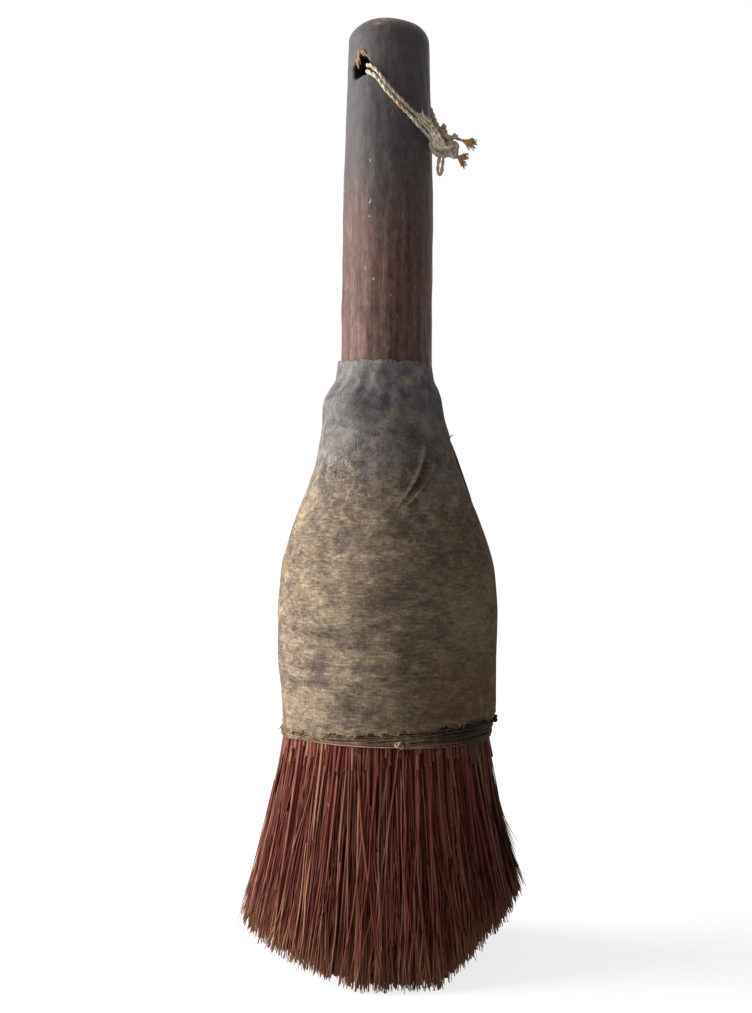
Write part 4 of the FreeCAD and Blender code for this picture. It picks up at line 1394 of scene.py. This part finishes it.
    def tuck(self, turn: Array, height: Array, start: tuple[float, float],
             finish: tuple[float, float], lips: float, deep: float, width: float) -> Array:
        """Pinched fold along a line on the cloth: two raised lips, and a valley between them.

        With d the distance across the line, which opens towards its start, and e fading at its
        ends, it is e (lips exp(-((|d| - w) / 0.42 w)^2) - deep exp(-(d / 0.6 w)^2)).

        Args:
            turn: Turns of the cloth's points.
            height: Their heights.
            start: Turn and height of the line's start.
            finish: The same of its end.
            lips: Height of the lips.
            deep: Depth of the valley.
            width: Half the distance between the lips.

        Returns:
            The rise of the cloth at each point, in metres.
        """
        middle = 0.5 * (start[1] + finish[1])
        radius = float(np.interp(middle, self.heights, self.radii)) * MM
        first = np.array((np.radians(start[0]) * radius, start[1] * MM))
        run = np.array((np.radians(finish[0]) * radius, finish[1] * MM)) - first
        length = float(np.hypot(*run))
        p, q = folded(turn) * radius - first[0], height - first[1]
        along = (p * run[0] + q * run[1]) / length**2
        off = (p * run[1] - q * run[0]) / length + 0.8 * MM * np.sin(np.pi * along)
        off = off / (1.5 - 1.05 * np.clip(along, 0.0, 1.0))
        fade = ease(-0.15, 0.4, along) * (1.0 - ease(0.6, 1.12, along))
        wide = width * MM
        valley = deep * MM * hump(off, 0.0, 0.6 * wide)
        return fade * (lips * MM * hump(np.abs(off), wide, 0.42 * wide) - valley)

    def shape(self, turn: Array, height: Array, past: Array) -> Array:
        """Radius of the cloth's outside.

        Args:
            turn: Turns of the points.
            height: Their heights.
            past: Turn left to the free edge of the lap.

        Returns:
            The outline's radius with the wobble, crumples, tucks, leans and lap added, a bulge in
            the open slit, and the top's right corner drawn in.
        """
        side = np.sin(turn)
        radius = smooth_line(np.array(self.heights) * MM, np.array(self.radii) * MM, height)
        loose = ease(78 * MM, 100 * MM, height)
        radius = radius + loose * self.wobble_depth * self.wobble.at(turn, height)
        radius = radius + self.crumple_depth * self.crumple.at(turn, height)
        for tuck in self.tucks:
            radius = radius + self.tuck(turn, height, *tuck)
        neck_lean = -1.25 * MM * side * hump(height, 172.5 * MM, 11 * MM)
        belly = 1.0 - ease(122 * MM, 138 * MM, height)
        belly_lean = -0.8 * MM * np.maximum(-side, 0.0) * belly
        foot_lean = 0.8 * MM * side * (1.0 - ease(78 * MM, 96 * MM, height))
        lap = 0.8 * MM * (1.0 - ease(0.0, np.radians(44.0), past))
        lap = lap * (1.0 - 0.8 * ease(163 * MM, 176 * MM, height))
        beyond = ease(TAU - 1.0, TAU - 0.5, past) * (1.0 - ease(TAU - 0.3, TAU - 0.02, past))
        bulge = 1.0 * MM * beyond * hump(height, 152 * MM, 11 * MM)
        corner = 1.1 * MM * hump(folded(turn, np.radians(80.0)), 0.0, 0.5)
        corner = corner * ease(179 * MM, 186 * MM, height)
        return radius + neck_lean + belly_lean + foot_lean + lap + bulge - corner

    def edge_turn(self, height: Array) -> Array:
        """Turn of the lap's free edge: nearest the front at the open slit, further back below."""
        return smooth_line(np.array(self.edge_heights) * MM, np.radians(self.edge_turns), height)

    def crowded(self, count: int, middle: float, reach: float) -> Array:
        """Rising shares from 0 to 1 that crowd three to one round a middle share."""
        even = np.linspace(0.0, 1.0, 4001)
        total = np.cumsum(1.0 + 2.0 * hump(even, middle, reach))
        rising = (total - total[0]) / (total[-1] - total[0])
        return np.interp(np.linspace(0.0, 1.0, count), rising, even)

    def build(self, canvas: Canvas, fray: bpy.types.Material) -> None:
        """Make the sheet and the frayed threads on its edges.

        Args:
            canvas: Finish of the cloth.
            fray: Finish of the loose threads.
        """
        share = self.crowded(self.rows, 0.7, 0.14)[:, None]
        edge = self.edge_turn(self.hem_height + share * (self.top_height - self.hem_height))
        whole = TAU + edge - self.under_edge
        turn = self.under_edge + whole * self.crowded(self.columns, 0.87, 0.1)[None, :]
        hem = self.hem(turn)
        height = hem + share * (self.top(turn) - hem)
        past = np.maximum(TAU + edge - turn, 0.0)
        points = ring_point(self.shape(turn, height, past), turn, height).reshape(-1, 3)
        # Under the lap at the open slit the cloth is painted near black: painted shade under the
        # lap, with some dirt.
        under = ease(TAU - 0.8, TAU - 0.35, past)
        grime_and_shade = 0.95 * under * hump(height, self.slit_height, self.slit_reach)
        grime_and_shade = grime_and_shade + self.spots(turn, height, self.dirt_and_shade_spots)
        bared = self.spots(turn, height, self.bared) + 0.5 * hump(height - hem, 0.0, 1.2 * MM)
        cracked = hump(folded(turn), np.radians(-42.0), 0.42) * hump(height, 154 * MM, 8 * MM)
        marks = {"grime_and_shade": np.minimum(grime_and_shade, 0.95), "bared": np.minimum(bared, 1.0),
                 "cracked": cracked}
        flat = np.stack((turn * self.flat_radius, height), axis=-1).reshape(-1, 2)
        quads = grid_faces(self.rows, self.columns, False)
        cloth = mesh_object("canvas_sleeve", points, [quads], flat[quads.ravel()], marks)
        wall = cloth.modifiers.new("cloth_wall", "SOLIDIFY")
        wall.thickness = self.thick
        wall.offset = -1.0
        settle(cloth, canvas.make(), Body.BROOM, "sleeve")
        fringe = settle(self.fringe(), fray, Body.BROOM)

    def fringe(self) -> bpy.types.Object:
        """Loose threads along the hem and the top edge, thick in tufts: short curling hairs.

        A hair leaves the edge along its own slope and curls by c t^2 away from it. The last one
        hangs at the open slit.

        Returns:
            The piece.
        """
        draws = np.random.default_rng(self.fringe_seed)
        each = (self.fringe_count, 1)
        low = np.arange(self.fringe_count)[:, None] < self.fringe_low
        turn = draws.uniform(0.0, TAU, each)
        tufts = self.tatter.at(turn) + 0.6 * draws.normal(0.0, 1.0, each)
        edge = np.where(low, self.hem(turn) + 0.35 * MM, self.top(turn) - 0.3 * MM)
        hanging = draws.gamma(2.0, 0.42, each) * (0.6 + 0.6 * np.maximum(tufts, 0.0))
        length = np.where(low, hanging, draws.gamma(2.0, 0.22, each)) * MM
        length = np.clip(length, 0.4 * MM, 1.9 * MM)
        turn[-1], edge[-1], length[-1] = np.radians(78.0), 163.0 * MM, 3.0 * MM
        level = np.clip(edge, 70.2 * MM, None)
        radius = self.shape(turn, level, np.full(each, 2.0)) - np.where(low, 0.1, 0.3) * MM
        share = np.linspace(0.0, 1.0, 6)
        out = draws.normal(0.12, 0.14, each)
        side = draws.normal(0.0, 0.8, each)
        curl = draws.normal(0.0, 0.5, each)
        run = length * share
        rise = level + run * np.where(low, -1.0, 0.8) * (1.0 - 0.25 * share)
        reach_out = np.maximum(out * run + 0.3 * curl * run * share, 0.0)
        turned = turn + (side + curl * share) * run / radius
        lines = ring_point(radius + reach_out, turned, rise)
        thick = draws.uniform(0.12, 0.36, each) * MM * (1.0 - 0.5 * share)
        # The share rising towards the right, away from the key light, is painted shade on top of a
        # random stain.
        stain = draws.uniform(0.0, 0.3, each) + 0.6 * ease(0.1, 0.9, np.sin(turn))
        lean = np.array((0.3, 0.2, 0.93))
        return tubes("frayed_threads", lines, thick, 4, lean, {"stain": stain})


@dataclass
class Binding:
    """Thin waxed thread wound round the sleeve's foot, crossing turns over it, and its knots."""

    radius: float = 32.75 * MM
    thick: float = 0.5 * MM
    foot: float = 70.95 * MM
    lean: float = 0.8 * MM
    pitch: float = 0.68 * MM
    turns: int = 12
    pale_turns: float = 2.0
    sides: int = 7
    step: float = 0.55 * MM
    ply_turn: float = 4.0 * MM
    start_turn: float = np.radians(8.0)
    crossing_turns: int = 3
    crossing_foot: float = 72.5 * MM
    crossing_rise: float = 0.5 * MM
    crossing_out: float = 0.4 * MM
    knot_out: float = 0.75 * MM
    waver: Ripple = Ripple(81, 18, 1, 9, 1.0)

    def winding(self, samples: int) -> Array:
        """Helix (r + l sin t, t, z0 + pitch t / 2 pi), with uneven rows and radii."""
        turn = self.start_turn + np.linspace(0.0, TAU * self.turns, samples)
        row = (turn - self.start_turn) / TAU
        uneven = 0.07 * MM * self.waver.at(turn, row) + 0.06 * MM * np.sin(2.3 * row)
        radius = self.radius + self.lean * np.sin(turn)
        radius = radius + 0.07 * MM * self.waver.at(turn + 2.0, 1.7 * row)
        return ring_point(radius, turn, self.foot + self.pitch * row + uneven)[None]

    def crossing(self, samples: int) -> Array:
        """Turns over the band that slant up to the right with the hem, by a sin t and a waver."""
        turn = np.linspace(0.0, TAU * self.crossing_turns, samples)
        row = turn / TAU
        slant = (1.5 + 0.25 * row) * MM * np.sin(turn) + 0.18 * MM * self.waver.at(turn, row)
        radius = self.radius + self.crossing_out + self.lean * np.sin(turn)
        height = self.crossing_foot + slant + self.crossing_rise * row
        return ring_point(radius, turn, height)[None]

    def plied(self, name: str, line: Array, thick: float,
              pale_until: float = 0.0) -> bpy.types.Object:
        """Slack two-ply thread along a line: rings r (1 + 0.06 cos(2 (a - w s))) at the length s.

        Args:
            name: Name of the piece.
            line: Points of the thread's middle.
            thick: Thickness of the thread.
            pale_until: Length up to which the thread is pale.

        Returns:
            The piece.
        """
        length = run_lengths(line)
        way = np.linspace(0.0, TAU, self.sides, endpoint=False)
        lobes = 1.0 + 0.06 * np.cos(2.0 * (way - TAU * length[..., None] / self.ply_turn))
        right = line[..., 0] / np.hypot(line[..., 0], line[..., 1])
        # The share rising towards the right, away from the key light, is painted shade on the
        # winding.
        marks = {"stain": 0.65 * (length < pale_until), "dark_tone": 0.86 * ease(0.1, 0.8, right)}
        return tubes(name, line, 0.5 * thick * lobes, self.sides, UP, marks)

    def knot(self, name: str, turn: float, height: float, size: float, thick: float,
             seed: int) -> bpy.types.Object:
        """Small hard knot: a trefoil (sin t + 2 sin 2t, cos t - 2 cos 2t, -sin 3t) pressed flat.

        Args:
            name: Name of the piece.
            turn: Turn of its middle.
            height: Height of its middle.
            size: A third of its width.
            thick: Thickness of its thread.
            seed: Seed of its twist in its own plane.

        Returns:
            The piece.
        """
        spin = np.random.default_rng(seed).uniform(0.0, TAU)
        a, b, c = trefoil(90)
        across = size / 3.0 * (a * np.cos(spin) - b * np.sin(spin))
        up = size / 3.0 * (a * np.sin(spin) + b * np.cos(spin)) * 0.85
        radius = self.radius + self.lean * np.sin(turn) + self.knot_out + 0.5 * size * (0.7 + c)
        line = ring_point(radius, turn + across / self.radius, height + up)[None]
        return self.plied(name, line, thick)

    def build(self, thread: bpy.types.Material, pale: bpy.types.Material) -> None:
        """Make the winding, its crossing turns and its knots.

        Args:
            thread: Finish of the wound thread.
            pale: Finish of the front knot.
        """
        girth = TAU * self.radius
        samples = int(girth * self.turns / self.step)
        wound = self.winding(samples)
        piece = self.plied("wound_thread", wound, self.thick, self.pale_turns * girth)
        settle(piece, thread, Body.BROOM, "binding_cord")
        crossing = self.crossing(int(samples * self.crossing_turns / self.turns))
        piece = self.plied("crossing_thread", crossing, self.thick)
        settle(piece, thread, Body.BROOM)
        for name, turn, height, size, thick, seed, material, node in (
                ("front_thread_knot", 7.6, 72.3, 1.25, 0.85, 3, pale, "binding_front_knot"),
                ("front_thread_end", 11.4, 72.2, 0.9, 0.7, 5, thread, None),
                ("side_thread_knot", 82.0, 76.4, 1.1, 0.85, 8, thread, "binding_side_knot")):
            piece = self.knot(name, np.radians(turn), height * MM, size * MM, thick * MM, seed)
            settle(piece, material, Body.BROOM, node)


@dataclass
class HangingLoop:
    """Doubled twine through the handle's hole, with its knot, the bight below it and frayed ends.

    Places are written in millimetres along the hole, across it and up from its middle. Those of the
    knot's turns go right, up and towards the front from the knot's middle.
    """

    hole_turn: float = np.radians(43.0)
    hole_height: float = 277 * MM
    thick: float = 1.5 * MM
    thin: float = 1.3 * MM
    upper_tail_thick: float = 1.1 * MM
    ply_turn: float = 4.2 * MM
    step: float = 0.3 * MM
    stain_level: float = 0.9
    bight_squeeze: tuple[float, float, float] = (0.65, 0.65, 1.0)
    tail_shares: tuple[float, float] = (0.6, 0.55)
    end_gap: float = 0.95 * MM
    knot_lean: tuple[float, float, float] = (0.36, 0.48, 0.8)
    lower: Route = (
        (-5.2, 15.2, -22.6), (-2.4, 15.0, -20.8), (1.7, 14.5, -17.9), (4.9, 13.8, -15.3),
        (8.3, 12.1, -12.0), (11.5, 9.0, -7.8), (14.0, 4.2, -3.0), (14.5, 1.3, -1.3),
        (13.6, 0.1, -0.9), (11.0, 0.0, -0.9), (6.6, 0.1, -0.9), (0.0, -0.1, -0.9),
        (-6.6, 0.1, -0.9), (-11.6, 0.0, -0.9), (-14.2, 0.4, -1.4), (-14.4, 2.7, -4.6),
        (-13.6, 5.1, -8.3), (-12.5, 7.6, -12.1), (-11.8, 10.4, -15.6), (-11.0, 13.0, -19.4),
        (-10.2, 14.2, -21.2))
    upper: Route = (
        (-5.6, 16.6, -20.4), (-2.4, 15.8, -18.2), (1.7, 14.6, -15.4), (4.9, 13.8, -12.8),
        (8.3, 12.1, -9.5), (11.5, 9.0, -5.3), (14.0, 4.2, -0.2), (14.5, 1.3, 0.8),
        (13.6, 0.1, 0.9), (11.0, 0.0, 0.9), (6.6, -0.1, 0.9), (0.0, 0.1, 0.9),
        (-6.6, -0.1, 0.9), (-11.6, 0.0, 0.9), (-14.2, 0.5, 0.7), (-14.6, 2.9, -1.6),
        (-13.9, 5.4, -5.2), (-12.9, 8.0, -9.0), (-12.3, 10.8, -12.4), (-11.6, 13.3, -15.8),
        (-9.8, 15.4, -19.8))
    bight: Route = (
        (-8.3, 14.7, -24.4), (-7.6, 14.1, -27.2), (-7.2, 13.7, -29.4), (-7.3, 13.7, -31.1),
        (-8.1, 14.4, -31.9), (-8.8, 14.9, -30.8), (-9.0, 15.1, -28.6), (-9.7, 15.5, -24.8))
    upper_tail: Route = (
        (-11.2, 16.8, -20.1), (-13.2, 18.7, -20.7), (-14.7, 20.5, -22.0), (-15.8, 21.8, -23.5))
    lower_tail: Route = (
        (-11.1, 16.7, -24.4), (-12.4, 18.1, -26.1), (-13.6, 19.3, -27.8), (-14.4, 20.1, -29.4))
    frayed_end: Route = (
        (2.5, 15.3, -15.2), (-0.1, 16.3, -17.0), (-2.6, 16.9, -19.4), (-4.3, 17.4, -22.0),
        (-5.6, 17.8, -24.0))
    knot_middle: tuple[float, float, float] = (-8.1, 16.0, -22.7)
    knot_turns: tuple[tuple[str, float, Route], ...] = (
        ("knot_front_turn", 1.9, (
            (-1.6, 2.4, 2.4), (-2.9, 1.0, 2.6), (-3.1, -0.3, 2.7), (-1.9, -1.2, 2.9),
            (0.0, -1.35, 3.0), (1.9, -1.1, 2.7), (3.2, -0.5, 1.6))),
        ("knot_right_turn", 2.3, (
            (1.2, 0.3, 1.4), (2.9, 0.3, 1.7), (3.8, -1.0, 1.4), (3.6, -2.6, 1.0), (3.0, -3.7, 1.4),
            (1.6, -3.0, 2.0))),
        ("knot_back_turn", 2.2, (
            (-2.6, 2.2, 1.2), (-3.6, 0.8, 1.4), (-3.8, -0.9, 1.4), (-2.8, -2.5, 1.1),
            (-0.8, -3.3, 0.8), (1.2, -2.8, 0.7))),
        ("knot_inner_turn", 3.0, (
            (-2.5, -0.7, 0.4), (-0.8, -1.2, 0.6), (1.2, -1.5, 0.6), (3.1, -1.6, 0.4))),
        ("knot_upper_turn", 2.2, (
            (-1.7, 4.2, 1.2), (-0.15, 3.1, 1.8), (1.1, 2.1, 2.0), (2.7, 1.9, 1.6),
            (3.7, 2.9, 0.9))))
    stains: tuple[tuple[float, float, float, float], ...] = (
        (8.2, 12.2, -12.0, 0.9), (-6.9, 16.4, -18.9, 1.8), (-9.6, 17.6, -20.6, 1.9),
        (-9.2, 17.0, -22.6, 1.4))

    def axes(self) -> Array:
        """Directions along the hole, across it and up, one to a row."""
        sine, cosine = np.sin(self.hole_turn), np.cos(self.hole_turn)
        return np.array(((-sine, -cosine, 0.0), (cosine, -sine, 0.0), (0.0, 0.0, 1.0)))

    def world(self, places: Array | Sequence[Sequence[float]] | Sequence[float]) -> Array:
        """Points of the frame from places."""
        middle = np.array((0.0, 0.0, self.hole_height))
        return middle + np.asarray(places, float) * MM @ self.axes()

    def route(self, name: str, places: Route) -> Array:
        """Even points along the smooth spline whose control points are a route's places.

        Args:
            name: Name for the spline.
            places: The route's places.

        Returns:
            Points by three.
        """
        points = self.world(places)
        curve = bpy.data.curves.new(name, "CURVE")
        curve.dimensions = "3D"
        curve.resolution_u = 16
        spline = curve.splines.new("NURBS")
        spline.points.add(len(points) - 1)
        weighted = np.column_stack((points, np.ones(len(points)))).astype(np.float32)
        spline.points.foreach_set("co", weighted.ravel())
        spline.order_u = 3
        spline.use_endpoint_u = True
        holder = bpy.data.objects.new(name, curve)
        drawn = bpy.data.meshes.new_from_object(holder)
        line = np.empty(len(drawn.vertices) * 3, np.float32)
        drawn.vertices.foreach_get("co", line)
        line = line.reshape(-1, 3).astype(float)
        bpy.data.objects.remove(holder)
        bpy.data.curves.remove(curve)
        bpy.data.meshes.remove(drawn)
        length = run_lengths(line)
        even = np.linspace(0.0, length[-1], int(length[-1] / self.step) + 1)
        return np.stack([np.interp(even, length, values) for values in line.T], axis=-1)

    def drawn(self, line: Array, front: float, back: float) -> Array:
        """Line of a strand as the knot's pull lays it: eased along the hole's right wall.

        Args:
            line: Points of the spline.
            front: How far the strand rises where it lies in front.
            back: How far it sags behind.

        Returns:
            The moved points.
        """
        zero, axes = self.world((0.0, 0.0, 0.0)), self.axes()
        along, across, up = ((line - zero) @ axes.T).T
        mouth = ease(8.5 * MM, 12.5 * MM, along)
        aside = 1.7 * MM * ease(-4 * MM, 5 * MM, along) + 1.4 * MM * mouth
        leaving = 1.0 - ease(2 * MM, 13 * MM, across)
        before = ease(2 * MM, 6 * MM, along) * ease(1.5 * MM, 4.5 * MM, across)
        behind = ease(7 * MM, 10.5 * MM, -along) * ease(0.5 * MM, 4 * MM, across)
        behind = behind * (1.0 - ease(10.5 * MM, 13.5 * MM, across))
        along = along - 0.5 * MM * leaving * ease(11.5 * MM, 13.5 * MM, along)
        drop = 0.6 * MM * ease(8.5 * MM, 12.5 * MM, along) * leaving
        up = up - drop + front * before - back * behind
        return zero + np.stack((along, across + aside * leaving, up), axis=-1) @ axes

    def yarns(self, name: str, line: Array, thick: float, lean: Array) -> bpy.types.Object:
        """Two plies twisted round a line: c + 0.14 d (cos w n1 + sin w n2), half a turn apart.

        Args:
            name: Name of the piece.
            line: Points of the twine's middle.
            thick: Thickness of the twine.
            lean: Direction that is never along the line.

        Returns:
            The piece.
        """
        along = unit(np.gradient(line, axis=0))
        first = unit(lean - along * (along @ lean)[:, None])
        second = np.cross(along, first)
        length = run_lengths(line)
        wander = 1.0 + 0.12 * np.sin(TAU * length / (7.3 * MM))
        wander = wander + 0.07 * np.sin(TAU * length / (2.9 * MM) + 1.0)
        way = (TAU * length / self.ply_turn + np.array((0.0, np.pi))[:, None])[..., None]
        plies = line + 0.14 * thick * (np.cos(way) * first + np.sin(way) * second)
        stain = np.zeros(plies.shape[:2])
        for *place, far in self.stains:
            away = np.linalg.norm(plies - self.world(place), axis=-1)
            stain = np.maximum(stain, self.stain_level * hump(away, 0.0, far * MM))
        return tubes(name, plies, (0.29 * thick * wander)[None], 8, lean, {"stain": stain})

    def knot_lines(self) -> list[tuple[str, Array, float]]:
        """Name, middle line and thickness of each turn: a squeezed trefoil, and turns over it."""
        middle = self.world(self.knot_middle)
        ball = trefoil(150).T * np.array((1.0, 0.9, 1.8))
        tilt = Matrix.Rotation(np.radians(62.0), 3, "X") @ Matrix.Rotation(np.radians(35.0), 3, "Z")
        lines = [("knot_ball", middle + ball @ np.array(tilt).T * 0.72 * MM, 2.6 * MM)]
        even = np.linspace(0.0, 1.0, 60)
        for name, thick, places in self.knot_turns:
            right, up, near = np.array(places).T
            share = np.linspace(0.0, 1.0, len(places))
            ways = [smooth_line(share, values, even) for values in (right, -near, up)]
            lines.append((name, middle + np.stack(ways, axis=-1) * MM, thick * MM))
        return lines

    def frayed(self, name: str, line: Array, fibres: int, spread: float, tail: float, seed: int,
               aim: tuple[float, float, float] | None = None) -> bpy.types.Object:
        """Loose fibres of a twine's end, which fan out past it by s t^1.5.

        Args:
            name: Name of the piece.
            line: Points of the twine's middle.
            fibres: Number of fibres.
            spread: How far they fan out, in millimetres.
            tail: How far they go past the end, in millimetres.
            seed: Seed of their directions.
            aim: Direction that they take, if not the line's own.

        Returns:
            The piece.
        """
        draws = np.random.default_rng(seed)
        along = unit(np.array(aim) if aim else line[-1] - line[-5])
        share = np.linspace(0.0, 1.0, 7)
        ways = draws.normal(0.0, 1.0, (fibres, 3))
        ways = (ways - (ways @ along)[:, None] * along)[:, None, :]
        reach = tail * MM * draws.uniform(0.55, 1.0, (fibres, 1, 1))
        fan = spread * MM * share[:, None] ** 1.5
        root = 0.25 * self.thick * unit(ways) * draws.uniform(0.2, 1.0, (fibres, 1, 1))
        lines = line[-4] + along * reach * share[:, None] + ways * fan + root
        thick = draws.uniform(0.16, 0.3, (fibres, 1)) * MM * (1.0 - 0.4 * share)
        stain = draws.uniform(0.0, 0.35, (fibres, 1))
        lean = unit(np.cross(along, (0.3, 0.5, 0.8)))
        return tubes(name, lines, thick, 4, lean, {"stain": stain})

    def fuzz(self, name: str, line: Array, seed: int, count: int = 60) -> bpy.types.Object:
        """Stray hairs that stand off a strand: short arcs from its surface.

        Args:
            name: Name of the piece.
            line: Points of the strand's middle.
            seed: Seed of their places and directions.
            count: Number of hairs.

        Returns:
            The piece.
        """
        draws = np.random.default_rng(seed)
        start = line[draws.integers(2, len(line) - 2, count)][:, None]
        out = unit(draws.normal(0.0, 1.0, (count, 1, 3)))
        bend = unit(draws.normal(0.0, 1.0, (count, 1, 3)))
        share = np.linspace(0.0, 1.0, 5)[:, None]
        length = draws.uniform(0.5, 1.6, (count, 1, 1)) * MM
        lines = start + out * (0.4 * self.thick + 0.5 * length * share)
        lines = lines + bend * length * 0.5 * share**2
        lean = np.array((0.52, 0.6, 0.61))
        return tubes(name, lines, np.array([[0.045 * MM]]), 3, lean, {"stain": 0.0})

    def build(self, twine: bpy.types.Material, tan: bpy.types.Material) -> None:
        """Args:
            twine: Finish of the twine.
            tan: Finish of the loose fibres of its tails.
        """
        lean = unit(np.array((0.0, 0.7, 0.75)) @ self.axes())
        across = unit(np.array((1.0, 1.0, 0.2)) @ self.axes())
        lower = self.drawn(self.route("lower_route", self.lower), 0.15 * MM, 1.2 * MM)
        upper = self.drawn(self.route("upper_route", self.upper), -0.4 * MM, 4.6 * MM)
        strands = [self.yarns("lower_twine", lower, self.thick, lean),
                   self.yarns("upper_twine", upper, self.thick, lean)]
        pieces = [self.yarns(*turn, np.array(self.knot_lean)) for turn in self.knot_lines()]
        bight = self.route("bight_route", self.bight)
        centre = bight.mean(axis=0)
        bight = centre + (bight - centre) * np.array(self.bight_squeeze)
        first = self.route("upper_tail_route", self.upper_tail)
        second = self.route("lower_tail_route", self.lower_tail)
        loose = self.route("frayed_end_route", self.frayed_end)
        first, second = (line[:int(share * len(line))]
                         for line, share in zip((first, second), self.tail_shares))
        pieces += [self.yarns("twine_bight", bight, self.thin, across),
                   self.yarns("upper_twine_tail", first, self.upper_tail_thick, lean),
                   self.yarns("lower_twine_tail", second, self.thick, lean)]
        aside = self.end_gap * unit(np.array((0.7, -0.3, 0.65)))
        for number in range(3):
            line = loose + (number - 1) * aside
            pieces += [self.yarns(f"frayed_twine_end_{number}", line, self.thin, lean),
                       self.frayed(f"loose_end_fibres_{number}", line[::-1], 14, 0.35, 1.9,
                                   93 + number)]
        pieces += [
            self.frayed("upper_tail_fibres", first, 80, 0.75, 4.6, 91, (0.9, -0.1, -0.3)),
            self.frayed("lower_tail_fibres", second, 30, 0.45, 3.4, 92, (1.0, -0.1, 0.1)),
            self.frayed("lowest_tail_fibres", second, 34, 0.5, 4.0, 97, (0.65, -0.1, -0.75)),
            self.fuzz("lower_twine_hairs", lower, 98), self.fuzz("upper_twine_hairs", upper, 99)]
        nodes = {"lower_twine": "loop_lower_strand", "upper_twine": "loop_upper_strand",
                 "knot_ball": "loop_knot", "twine_bight": "loop_bight",
                 "upper_twine_tail": "loop_upper_tail", "lower_twine_tail": "loop_lower_tail"}
        for piece in strands + pieces:
            material = tan if piece.name.endswith("tail_fibres") else twine
            settle(piece, material, Body.LOOP, nodes.get(piece.name))


def main() -> None:
    """Build the studio and every sub-assembly, logging each piece's face count."""
    logging.basicConfig(level=logging.INFO, format="%(message)s")
    Studio().build()
    tan = Twine(tone(255, 226, 182), tone(252, 206, 152), tone(228, 168, 112), tone(240, 150, 80))
    # Its dark brown stain colour also paints the loose threads' shade on the right side.
    fray = Twine(tone(206, 180, 140), tone(172, 145, 110), tone(122, 100, 76), tone(70, 50, 34))
    knot = Twine(tone(206, 182, 144), tone(176, 148, 110), tone(120, 98, 72))
    HangingLoop().build(Twine().make(), tan.make("tan_twine_ends"))
    Handle().build(WornWood(), TornWood())
    StemHead().build(Stem())
    Sleeve().build(Canvas(), fray.make("frayed_canvas_threads"))
    Binding().build(Thread().make(), knot.make("pale_thread_knot"))
    iron = DullIron().make()
    for name in ("neck_binding", "neck_nail"):
        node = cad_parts[name]
        node.data.materials.clear()
        node.data.materials.append(iron)


if __name__ == "__main__":
    main()
